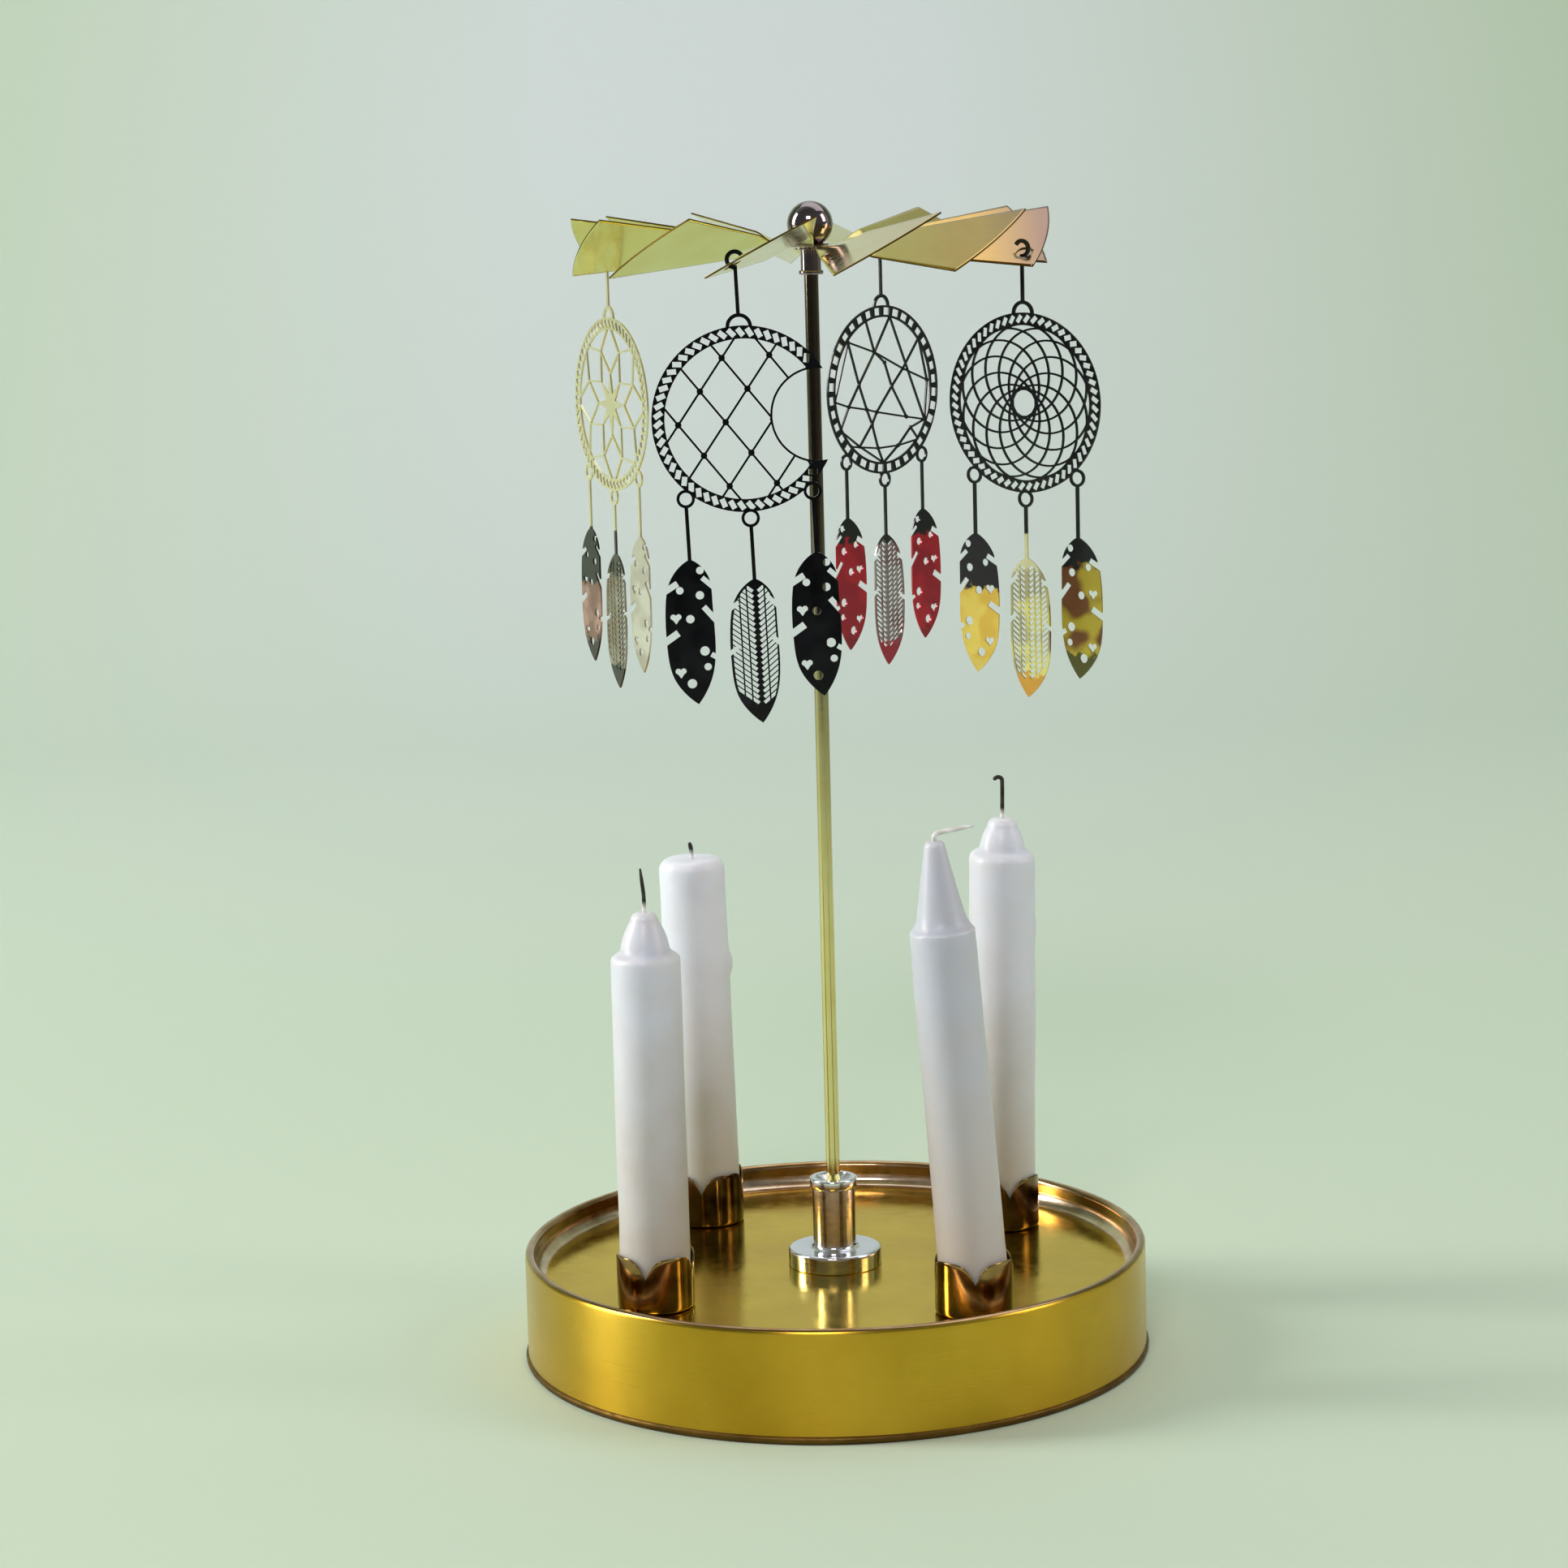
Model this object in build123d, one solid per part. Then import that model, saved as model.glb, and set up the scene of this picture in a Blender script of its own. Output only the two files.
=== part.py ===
import os
from math import atan2, cos, degrees, radians, sin, tan

from build123d import *

# The carousel is a round brass tray that carries four candles in petal cups. A thin rod stands in a
# socket in the middle. A fan of twisted vanes turns on a needle at the top of the rod, and four flat
# dreamcatcher pendants hang from the vanes. Heat that rises from the flames turns the fan.
# All sizes are in millimetres. The origin is the middle of the tray on the surface it stands on.

# Tray: one drawn sheet with a folded rim, a sunk floor and a bead round the foot
tray_radius = 67.5
tray_height = 24.0
tray_sheet = 0.8
rim_width = 2.2
recess_depth = 5.5
recess_corner_radius = 1.0
foot_bead_radius = 0.9

# Candle cups: a sheet cup with four petals, riveted to the tray floor
cup_inset = 19.9
cup_count = 4
cup_first_azimuth = -143.2
cup_sheet = 0.4
cup_height = 12.0
cup_corner_radius = 0.8
candle_clearance = 0.3
petal_valley_depth = 4.4
petal_valley_half_width = 5.4
petal_swell_share = 0.22
petal_valley_turns = (-14.0, 0.0, 10.0, -8.0)

# Rivets that hold the cups
rivet_shank_radius = 1.2
rivet_head_radius = 2.0
rivet_head_height = 0.6
rivet_round_share = 0.6
rivet_clearance = 0.05

# Candles: 15 mm chime candles with a stepped tip
candle_radius = 7.5
candle_seat_gap = 0.3
candle_tip_base_share = 0.76
# Radius of each candle at its foot and at its shoulder, in the order of the cups
candle_foot_shares = (1.0, 0.967, 1.0, 1.0)
candle_shoulder_shares = (0.97, 0.905, 0.98, 0.98)
candle_bow_shares = (0.42, 0.5)
candle_round_share = 0.5
wick_radius = 0.55
wick_clearance = 0.05

# Socket that holds the rod, with a stud and nut under the tray
socket_flange_radius = 10.1
socket_flange_height = 3.9
socket_flange_edge = 0.8
socket_tube_radius = 4.65
socket_tube_height = 15.6
socket_collar_height = 2.2
socket_collar_reach = 0.5
socket_edge = 0.5
socket_floor = 2.0
stud_radius = 3.0
stud_length = 6.4
stud_clearance = 0.1
washer_radius = 7.0
washer_thickness = 0.8
nut_across_flats = 10.0
nut_height = 3.4

# Rod and the needle in its tip
rod_radius = 1.5
rod_clearance = 0.1
rod_seat_gap = 0.2
rod_length = 215.4
rod_tip_edge = 0.3
needle_radius = 0.6
needle_clearance = 0.03
needle_depth = 6.0
needle_reach = 7.0
needle_point_length = 2.2
needle_point_radius = 0.1

# Bearing cup that sits on the needle inside the finial
bearing_radius = 2.2
bearing_height = 3.6
bearing_clearance = 0.05
bearing_mouth_radius = 1.7
bearing_dimple_depth = 2.4
pivot_gap = 0.08

# Finial ball with its collar, and the sleeve that clamps the fan to it
ball_radius = 4.8
ball_collar_radius = 4.0
ball_collar_height = 1.7
ball_over_bearing = 0.2
sleeve_radius = 2.15
sleeve_bore_clearance = 0.25
sleeve_fit = 0.05
sleeve_drop = 5.8
sleeve_neck_reach = 1.9
sleeve_flange_radius = 3.4
sleeve_flange_height = 0.6
sleeve_ring_radius = 2.6
sleeve_ring_height = 0.9
sleeve_round_share = 0.3

# Fan of vanes, cut from one round sheet and twisted
vane_count = 12
fan_radius = 50.0
fan_sheet = 0.35
fan_over_rod = 2.6
fan_tip_rise = 1.0
fan_hub_radius = 11.0
vane_root_share = 0.95
vane_twist_radius = 17.0
vane_twist = 27.0
vane_slit = 0.4
fan_azimuth = -115.5
hook_hole_radius = 1.7
hook_circle_radius = 46.5
hook_past_corner = 5.5
vanes_per_pendant = 3

# Pendants: flat etched sheet, one piece from the hook to the feather tips
pendant_sheet = 0.4
hook_radius = 2.0
hook_line = 0.85
hook_open_angle = 30.0
hook_rise = 1.0
hook_offset = 0.5
stem_line = 0.75
top_stem_length = 8.6
top_loop_radius = 2.65
ring_radius = 18.6
rope_width = 2.6
web_line = 0.42
side_loop_angle = 40.0
loop_radius = 1.85
loop_line = 0.6
feather_stem_length = 10.6
feather_length = 29.4
feather_width = 10.6
feather_vein = 0.5
# Direction of each pendant's own X axis and its lean in its own plane, in the order of the hook holes
pendant_turns = (-63.0, 3.0, 143.0, 227.6)
pendant_tilts = (0.0, 2.0, 0.0, 0.0)

# Shapes of the four webs
rope_slot_count = 60
rope_slot_width = 1.08
rope_slot_share = 0.7
rope_slot_angle = 38.0
rope_overlap_share = 0.1
moon_bite_radius = 9.2
moon_bite_offset = 14.8
moon_rope_start = 38.0
moon_slot_count = 47
lattice_step = 4.75
lattice_rise = 6.4
lattice_dot_radius = 0.65
lattice_place = (-3.8, -0.4)
lattice_rows = 4
bead_slot_count = 36
bead_slot_length = 1.8
bead_slot_width = 1.6
web_knot_radius = 0.45
spiral_arc_count = 12
spiral_eye_radius = 3.05
flower_point_count = 8
flower_corner_radius = 12.1
flower_inner_radius = 6.6
star_radius = 6.8
star_inner_share = 0.34

# Knots of the chord web, across and up as shares of the ring's radius
knot_shares = (
    (-0.15, 0.86),
    (-0.67, 0.58),
    (-0.81, 0.07),
    (-0.75, -0.4),
    (-0.63, -0.63),
    (0.02, -0.87),
    (0.6, -0.64),
    (0.78, -0.44),
    (0.87, -0.1),
    (0.61, 0.59),
    (0.29, 0.84),
    (0.14, 0.45),
    (-0.04, 0.32),
    (-0.37, 0.23),
    (-0.16, 0.03),
    (0.43, 0.08),
    (0.62, -0.17),
    (0.3, -0.22),
    (0.12, -0.26),
    (-0.42, -0.35),
    (0.21, -0.4),
    (0.44, -0.65),
    (0.11, -0.69),
    (-0.26, -0.68),
    (-0.49, -0.48),
)

# Threads of the chord web, each from knot to knot
threads = (
    (0, 3),
    (0, 11, 15, 16, 7),
    (10, 11, 12, 14, 19),
    (9, 11, 13, 2),
    (9, 15, 17, 20, 22, 5),
    (1, 13, 14, 18, 20, 21),
    (8, 16, 17, 18, 19, 3),
    (7, 21, 5),
    (6, 22, 23, 4),
    (5, 23, 24, 3),
    (1, 2, 3),
    (9, 8),
    (24, 4),
)

# Outline of a feather on its right and left side: how wide it is at each share of its length
feather_right_shares = (
    (0.0, 0.0),
    (0.4, 0.05),
    (0.68, 0.13),
    (0.76, 0.28),
    (0.78, 0.6),
    (0.6, 0.81),
    (0.35, 0.91),
    (0.0, 1.0),
)
feather_left_shares = (
    (0.0, 0.0),
    (-0.42, 0.05),
    (-0.8, 0.14),
    (-1.02, 0.3),
    (-1.06, 0.6),
    (-0.87, 0.81),
    (-0.53, 0.91),
    (0.0, 1.0),
)

# Holes of a side feather: place across and down as shares, and radius as a share of the width
feather_hole_shares = (
    (0.36, 0.08, 0.072),
    (-0.45, 0.21, 0.072),
    (0.3, 0.25, 0.08),
    (-0.12, 0.41, 0.08),
    (0.36, 0.635, 0.09),
    (0.44, 0.745, 0.07),
    (-0.2, 0.855, 0.09),
)

# Heart-shaped holes of a side feather, as place across and down and size as shares
feather_heart_shares = ((-0.66, 0.39, 0.1), (-0.6, 0.765, 0.1))
heart_lobe_share = 0.55
heart_point_share = 1.4

# Barb notches of a side feather: root across and down, mouth across and down, and width as shares
feather_notch_shares = (
    (-0.52, 0.16, -1.2, 0.23, 0.022),
    (-0.6, 0.5, -1.3, 0.58, 0.025),
    (0.42, 0.13, 0.95, 0.22, 0.018),
    (0.42, 0.33, 0.95, 0.45, 0.02),
    (0.6, 0.66, 0.95, 0.7, 0.018),
)

# Barb notches of a centre feather, given in the same way
mesh_notch_shares = (
    (-0.66, 0.16, -1.3, 0.235, 0.016),
    (-0.78, 0.47, -1.3, 0.53, 0.016),
    (0.46, 0.13, 0.95, 0.22, 0.016),
    (0.52, 0.4, 0.95, 0.48, 0.016),
)

# Mesh of a centre feather: rows of slanted slots, and ribs that cross them, as shares of its size
mesh_rows = 21
mesh_start_share = 0.07
mesh_end_share = 0.88
mesh_slot_share = 0.6
mesh_reach_share = 1.6
mesh_root_share = 0.1
mesh_angle = 52.0
mesh_rib_shares = (-0.62, -0.34, 0.34)
mesh_rib = 0.3

# One overrun serves every cut
overrun = 1.0

ON_BASE = (Align.CENTER, Align.CENTER, Align.MIN)
ON_EDGE = (Align.CENTER, Align.MIN)
UNDER_EDGE = (Align.CENTER, Align.MAX)

cup_circle_radius = tray_radius - cup_inset
floor_top = tray_height - recess_depth
floor_bottom = floor_top - tray_sheet
cup_bore_radius = candle_radius + candle_clearance
cup_radius = cup_bore_radius + cup_sheet
candle_base = floor_top + cup_sheet + rivet_head_height + candle_seat_gap
socket_top = floor_top + socket_flange_height + socket_tube_height
rod_base = floor_top + socket_floor + rod_seat_gap
rod_top = rod_base + rod_length
needle_top = rod_top + needle_reach
bearing_top = needle_top + pivot_gap + bearing_height - bearing_dimple_depth
bearing_base = bearing_top - bearing_height
fan_height = rod_top + fan_over_rod
fan_top = fan_height + fan_sheet / 2
fan_bottom = fan_height - fan_sheet / 2
ball_centre = fan_top + ball_collar_height + (ball_radius**2 - ball_collar_radius**2) ** 0.5

# Each candle: name, place in the order of the cups, length to the shoulder, height of the tip above
# it, radius at the tip, lean towards +X in degrees
candles = (
    ("front_left", 0, 74.6, 8.6, 2.6, 0.0),
    ("front_right", 1, 80.3, 18.3, 2.5, -4.0),
    ("back_right", 2, 84.2, 7.3, 3.4, 1.0),
    ("back_left", 3, 81.1, 1.3, 5.4, -1.0),
)

# Each wick: length before the bend, bend radius, turn of the bend in degrees, length after it
wicks = {
    "front_left": (3.0, 14.0, 14.0, 4.3),
    "front_right": (0.6, 1.2, -84.0, 7.2),
    "back_right": (8.4, 0.9, 128.0, 0.5),
    "back_left": (1.6, 6.0, 10.0, 1.0),
}


def face_of(lines):
    """Flat face inside a closed run of lines and arcs."""
    return make_face(Curve() + lines)


def turned(profile):
    """Solid of revolution of a profile drawn with radius along X and height along Y."""
    return revolve(Plane.XZ * profile, Axis.Z)


def arc_band(radius, line):
    """Flat ring with its outer edge at the given radius."""
    return Circle(radius) - Circle(radius - line)


def bar(start, end, width):
    """Flat straight bar between two points."""
    along = Vector(*end) - Vector(*start)
    middle = (Vector(*end) + Vector(*start)) / 2
    turn = degrees(atan2(along.Y, along.X))
    return Pos(middle.X, middle.Y) * Rot(0, 0, turn) * Rectangle(along.length, width)


def cup_places():
    """Centres of the four cups and holes in the tray floor."""
    step = 360 / cup_count
    return [Rot(0, 0, cup_first_azimuth + step * i) * Pos(cup_circle_radius, 0) for i in range(cup_count)]


def base_shell():
    """Drawn tray: outer wall, folded rim, sunk floor and foot bead."""
    inner_radius = tray_radius - rim_width
    fold_radius = rim_width / 2
    fold_height = tray_height - fold_radius
    gap_outer = tray_radius - tray_sheet
    gap_inner = inner_radius + tray_sheet
    gap_radius = (gap_outer - gap_inner) / 2
    fold_centre = (tray_radius - fold_radius, fold_height)
    under_radius = recess_corner_radius + tray_sheet
    corner = (inner_radius - recess_corner_radius, floor_top + recess_corner_radius)
    hole = stud_radius + stud_clearance
    profile = face_of(
        [
            Line((hole, floor_bottom), (corner[0], floor_bottom)),
            CenterArc(corner, under_radius, -90, 90),
            Line((gap_inner, corner[1]), (gap_inner, fold_height)),
            CenterArc(fold_centre, gap_radius, 180, -180),
            Line((gap_outer, fold_height), (gap_outer, 0)),
            Line((gap_outer, 0), (tray_radius, 0)),
            Line((tray_radius, 0), (tray_radius, fold_height)),
            CenterArc(fold_centre, fold_radius, 0, 180),
            Line((inner_radius, fold_height), (inner_radius, corner[1])),
            CenterArc(corner, recess_corner_radius, 0, -90),
            Line((corner[0], floor_top), (hole, floor_top)),
            Line((hole, floor_top), (hole, floor_bottom)),
        ]
    )
    bead = Pos(tray_radius - tray_sheet / 2, foot_bead_radius) * Circle(foot_bead_radius)
    shell = turned(profile + bead)
    drill = Pos(0, 0, floor_bottom - overrun) * Cylinder(
        rivet_shank_radius + rivet_clearance, tray_sheet + 2 * overrun, align=ON_BASE
    )
    return shell - [place * drill for place in cup_places()]


def candle_cup(valley_turn):
    """Cup with four round petals that hug the candle, standing on the tray floor."""
    outer = Cylinder(cup_radius, cup_height, align=ON_BASE)
    outer = fillet(outer.faces().sort_by(Axis.Z)[0].edges(), cup_corner_radius)
    bore = Pos(0, 0, cup_sheet) * Cylinder(cup_bore_radius, cup_height, align=ON_BASE)
    hole = Cylinder(rivet_shank_radius + rivet_clearance, cup_sheet + overrun, align=ON_BASE)
    valley = cup_height - petal_valley_depth
    side = petal_valley_half_width
    above = cup_height + overrun
    swell = petal_valley_depth * petal_swell_share
    middle = (side / 2, valley + petal_valley_depth / 2)
    notch = face_of(
        [
            ThreePointArc((0, valley), (middle[0] - swell, middle[1] + swell), (side, cup_height)),
            Line((side, cup_height), (side, above)),
            Line((side, above), (-side, above)),
            Line((-side, above), (-side, cup_height)),
            ThreePointArc((-side, cup_height), (-middle[0] + swell, middle[1] + swell), (0, valley)),
        ]
    )
    reach = cup_radius + overrun
    notches = extrude(Plane.XZ.offset(-reach) * notch, 2 * reach)
    cup = outer - bore - hole - notches - Rot(0, 0, 90) * notches
    return Pos(0, 0, floor_top) * Rot(0, 0, valley_turn) * cup


def cup_rivets():
    """Four rivets through the cup floors and the tray, with a head at each end."""
    grip = cup_sheet + tray_sheet
    shank = Pos(0, 0, floor_bottom) * Cylinder(rivet_shank_radius, grip, align=ON_BASE)
    head = Cylinder(rivet_head_radius, rivet_head_height, align=ON_BASE)
    head = fillet(head.faces().sort_by(Axis.Z)[-1].edges(), rivet_head_height * rivet_round_share)
    rivet = shank + Pos(0, 0, floor_top + cup_sheet) * head
    rivet += Pos(0, 0, floor_bottom) * Rot(180, 0, 0) * head
    return Compound([place * rivet for place in cup_places()])


def socket():
    """Turned socket with a round flange, a collared tube and a stud under the tray."""
    collar_radius = socket_tube_radius + socket_collar_reach
    collar_base = socket_top - socket_collar_height
    flange_top = floor_top + socket_flange_height
    body = Pos(0, 0, floor_top) * Cylinder(socket_flange_radius, socket_flange_height, align=ON_BASE)
    body = chamfer(body.faces().sort_by(Axis.Z)[-1].edges(), socket_flange_edge)
    tube = Pos(0, 0, flange_top) * Cylinder(socket_tube_radius, socket_tube_height, align=ON_BASE)
    collar = Pos(0, 0, collar_base) * Cylinder(collar_radius, socket_collar_height, align=ON_BASE)
    collar = chamfer(collar.edges().filter_by(GeomType.CIRCLE), socket_edge)
    stud = Pos(0, 0, floor_top - stud_length) * Cylinder(stud_radius, stud_length, align=ON_BASE)
    bore = Pos(0, 0, floor_top + socket_floor) * Cylinder(
        rod_radius + rod_clearance, socket_top, align=ON_BASE
    )
    return body + tube + collar + stud - bore


def socket_washer():
    """Flat washer against the underside of the tray floor."""
    ring = Cylinder(washer_radius, washer_thickness, align=ON_BASE)
    ring -= Cylinder(stud_radius + stud_clearance, washer_thickness, align=ON_BASE)
    return Pos(0, 0, floor_bottom - washer_thickness) * ring


def socket_nut():
    """Hexagonal nut on the stud."""
    blank = extrude(RegularPolygon(nut_across_flats / 2, 6, major_radius=False), nut_height)
    blank -= Cylinder(stud_radius + stud_clearance, nut_height, align=ON_BASE)
    return Pos(0, 0, floor_bottom - washer_thickness - nut_height) * blank


def rod():
    """Polished rod with a bored tip for the needle."""
    body = Pos(0, 0, rod_base) * Cylinder(rod_radius, rod_length, align=ON_BASE)
    body = chamfer(body.edges().filter_by(GeomType.CIRCLE), rod_tip_edge)
    bore = Pos(0, 0, rod_top - needle_depth) * Cylinder(
        needle_radius + needle_clearance, needle_depth + overrun, align=ON_BASE
    )
    return body - bore


def pivot_needle():
    """Steel needle that the fan turns on."""
    shoulder = needle_top - needle_point_length
    base = rod_top - needle_depth
    shank = Pos(0, 0, base) * Cylinder(needle_radius, shoulder - base, align=ON_BASE)
    point = Pos(0, 0, shoulder) * Cone(needle_radius, needle_point_radius, needle_point_length, align=ON_BASE)
    return shank + point


def bearing_cup():
    """Cup with a conical dimple that rests on the needle's point."""
    body = Pos(0, 0, bearing_base) * Cylinder(bearing_radius, bearing_height, align=ON_BASE)
    tip = needle_point_radius
    dimple = Pos(0, 0, bearing_base) * Cone(bearing_mouth_radius, tip, bearing_dimple_depth, align=ON_BASE)
    return body - dimple


def finial_ball():
    """Hollow ball on a collar, over the bearing cup."""
    ball = Pos(0, 0, ball_centre) * Sphere(ball_radius)
    collar_length = ball_centre - fan_top
    collar = Pos(0, 0, fan_top) * Cylinder(ball_collar_radius, collar_length, align=ON_BASE)
    below = Pos(0, 0, fan_top - 2 * ball_radius)
    trim = below * Cylinder(2 * ball_radius, 2 * ball_radius, align=ON_BASE)
    bore_length = bearing_top + ball_over_bearing - fan_top
    bore = Pos(0, 0, fan_top) * Cylinder(bearing_radius + bearing_clearance, bore_length, align=ON_BASE)
    return ball + collar - trim - bore


def hub_sleeve():
    """Sleeve round the rod's tip: its flange and neck clamp the fan to the ball."""
    neck_top = fan_top + sleeve_neck_reach
    bottom = fan_bottom - sleeve_drop
    tube = Pos(0, 0, bottom) * Cylinder(sleeve_radius, neck_top - bottom, align=ON_BASE)
    flange = Pos(0, 0, fan_bottom - sleeve_flange_height) * Cylinder(
        sleeve_flange_radius, sleeve_flange_height, align=ON_BASE
    )
    ring = Pos(0, 0, bottom) * Cylinder(sleeve_ring_radius, sleeve_ring_height, align=ON_BASE)
    ring = fillet(ring.edges().filter_by(GeomType.CIRCLE), sleeve_ring_height * sleeve_round_share)
    bore = Pos(0, 0, bottom - overrun) * Cylinder(
        rod_radius + sleeve_bore_clearance, neck_top - bottom + 2 * overrun, align=ON_BASE
    )
    return tube + flange + ring - bore


def fan_rise(radius):
    """Height of a vane's middle line above the hub."""
    return fan_tip_rise * (radius - fan_hub_radius) / (fan_radius - fan_hub_radius)


def vane_half_width(radius):
    """Half of the width of the flat blank of one vane."""
    return radius * tan(radians(180 / vane_count)) - vane_slit / 2


def vane_section(radius, twist):
    """Thin slice across a vane at one distance from the axis."""
    across = (0, cos(radians(twist)), sin(radians(twist)))
    plane = Plane(origin=(radius, 0, fan_rise(radius)), x_dir=across, z_dir=(1, 0, 0))
    return plane * Rectangle(2 * vane_half_width(radius), fan_sheet)


def corner_angle():
    """Angle from a vane's middle line to its lower corner at the tip."""
    return 180 / vane_count * cos(radians(vane_twist))


def hook_hole_place():
    """Middle of the hook hole on a vane that lies along +X, relative to the hub's middle plane."""
    angle = radians(hook_past_corner - corner_angle())
    x = hook_circle_radius * cos(angle)
    y = hook_circle_radius * sin(angle)
    return Vector(x, y, fan_rise(x) + y * tan(radians(vane_twist)))


def vane_azimuth(index):
    """Direction of a vane's middle line."""
    return fan_azimuth - 90 + corner_angle() + 360 * index / vane_count


def rotor_vanes():
    """Fan: a hub disc with twelve vanes twisted out of the sheet."""
    root = fan_hub_radius * vane_root_share
    neck = loft([vane_section(root, 0), vane_section(vane_twist_radius, vane_twist)], ruled=True)
    blade = loft(
        [vane_section(vane_twist_radius, vane_twist), vane_section(fan_radius + overrun, vane_twist)],
        ruled=True,
    )
    reach = 2 * fan_radius
    limit = Pos(0, 0, -fan_radius) * Cylinder(fan_radius, reach, align=ON_BASE)
    vane = (neck + blade) & limit
    hole = Pos(hook_hole_place()) * Cylinder(hook_hole_radius, hook_hole_radius * 2)
    holed_vane = vane - hole
    fan = Pos(0, 0, -fan_sheet / 2) * Cylinder(fan_hub_radius, fan_sheet, align=ON_BASE)
    pieces = [vane if index % vanes_per_pendant else holed_vane for index in range(vane_count)]
    fan += [Rot(0, 0, vane_azimuth(index)) * piece for index, piece in enumerate(pieces)]
    bore = Pos(0, 0, -overrun) * Cylinder(sleeve_radius + sleeve_fit, 2 * overrun, align=ON_BASE)
    return Pos(0, 0, fan_height) * (fan - bore)


def slots_round(radius, count, length, width, angle, start=0.0):
    """Slanted slots spaced evenly round a circle, or along the part of it that leaves out the start."""
    sweep = 360 - 2 * start
    turns = [start + sweep * (index + 0.5) / count for index in range(count)]
    slot = Pos(radius, 0) * Rot(0, 0, angle) * Rectangle(length, width)
    return [Rot(0, 0, turn) * slot for turn in turns]


def rope_ring(count, start=0.0):
    """Round rim etched like a twisted rope."""
    middle = ring_radius - rope_width / 2
    slot = rope_width * rope_slot_share
    slots = slots_round(middle, count, slot, rope_slot_width, rope_slot_angle, start)
    return arc_band(ring_radius, rope_width) - slots


def inside_rope():
    """Disc that reaches a little way under the rope's inner edge."""
    return Circle(ring_radius - rope_width * (1 - rope_overlap_share))


def thread(points):
    """Straight bars from point to point."""
    return [bar(start, end, web_line) for start, end in zip(points, points[1:])]


def moon_web():
    """Crescent with a rope rim, a diamond lattice and dots at its crossings."""
    bite = Pos(moon_bite_offset, 0) * Circle(moon_bite_radius)
    edge = Pos(moon_bite_offset, 0) * arc_band(moon_bite_radius + web_line, web_line)
    middle_x, middle_y = lattice_place
    lattice = [edge]
    reach = 2 * lattice_rows
    for step in range(-reach, reach + 1):
        foot = middle_x + 2 * step * lattice_step
        for lean in (-1, 1):
            start = (foot - lean * reach * lattice_step, middle_y - reach * lattice_rise)
            end = (foot + lean * reach * lattice_step, middle_y + reach * lattice_rise)
            lattice.append(bar(start, end, web_line))
    for row in range(-lattice_rows, lattice_rows + 1):
        for column in range(-lattice_rows, lattice_rows + 1):
            x = middle_x + (2 * column + row % 2) * lattice_step
            lattice.append(Pos(x, middle_y + row * lattice_rise) * Circle(lattice_dot_radius))
    web = (Sketch() + lattice) & inside_rope()
    return rope_ring(moon_slot_count, moon_rope_start) + web - bite


def chord_web():
    """Ring with a bead rim and threads that are knotted where they cross."""
    middle = ring_radius - rope_width / 2
    slots = slots_round(middle, bead_slot_count, bead_slot_width, bead_slot_length, 0)
    knots = [(x * ring_radius, y * ring_radius) for x, y in knot_shares]
    web = [Pos(*knot) * Circle(web_knot_radius) for knot in knots]
    for run in threads:
        web += thread([knots[index] for index in run])
    return arc_band(ring_radius, rope_width) - slots + ((Sketch() + web) & inside_rope())


def spiral_web():
    """Ring with a rope rim and arcs that spiral both ways round an open eye."""
    outer = ring_radius - rope_width + web_line
    radius = (outer + spiral_eye_radius) / 2
    offset = (outer - spiral_eye_radius) / 2
    arc = Pos(offset, 0) * arc_band(radius, web_line)
    turns = [360 * index / spiral_arc_count for index in range(spiral_arc_count)]
    return rope_ring(rope_slot_count) + [Rot(0, 0, turn) * arc for turn in turns]


def zigzag(far, near):
    """Closed zigzag between two radii, with its far points on the web's own axes."""
    points = []
    for index in range(2 * flower_point_count + 1):
        angle = radians(180 * index / flower_point_count)
        reach = near if index % 2 else far
        points.append((reach * cos(angle), reach * sin(angle)))
    return points


def flower_web():
    """Ring with a rope rim, eight kite petals that share their corners and a star in the middle."""
    outer = thread(zigzag(ring_radius - rope_width / 2, flower_corner_radius))
    inner = thread(zigzag(flower_inner_radius, flower_corner_radius))
    star = make_face(Polyline(*zigzag(star_radius, star_radius * star_inner_share)))
    web = (Sketch() + outer + inner + [star]) & inside_rope()
    return rope_ring(rope_slot_count) + web


def feather_blank(width, length):
    """Leaf outline that hangs down from the origin, wider on its left side."""
    right = [(x * width / 2, -y * length) for x, y in feather_right_shares]
    left = [(x * width / 2, -y * length) for x, y in feather_left_shares]
    return face_of([Spline(*right), Spline(*left)])


def heart(size):
    """Heart with its point down."""
    lobe = Circle(size * heart_lobe_share)
    tip = Polyline((-size, 0), (size, 0), (0, -size * heart_point_share), close=True)
    return Pos(-size / 2, 0) * lobe + Pos(size / 2, 0) * lobe + make_face(tip)


def notch_cuts(shares):
    """Narrow notches that run down and outward through the edge of a feather."""
    half = feather_width / 2
    cuts = []
    for root_x, root_y, mouth_x, mouth_y, width in shares:
        root = (root_x * half, -root_y * feather_length)
        mouth = (mouth_x * half, -mouth_y * feather_length)
        cuts.append(bar(root, mouth, 2 * width * feather_length))
    return cuts


def side_feather():
    """Leaf with round and heart-shaped holes and slits between its barbs."""
    half = feather_width / 2
    cuts = notch_cuts(feather_notch_shares)
    for x, y, size in feather_hole_shares:
        cuts.append(Pos(x * half, -y * feather_length) * Circle(size * feather_width))
    for x, y, size in feather_heart_shares:
        cuts.append(Pos(x * half, -y * feather_length) * heart(size * feather_width))
    return feather_blank(feather_width, feather_length) - cuts


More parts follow.
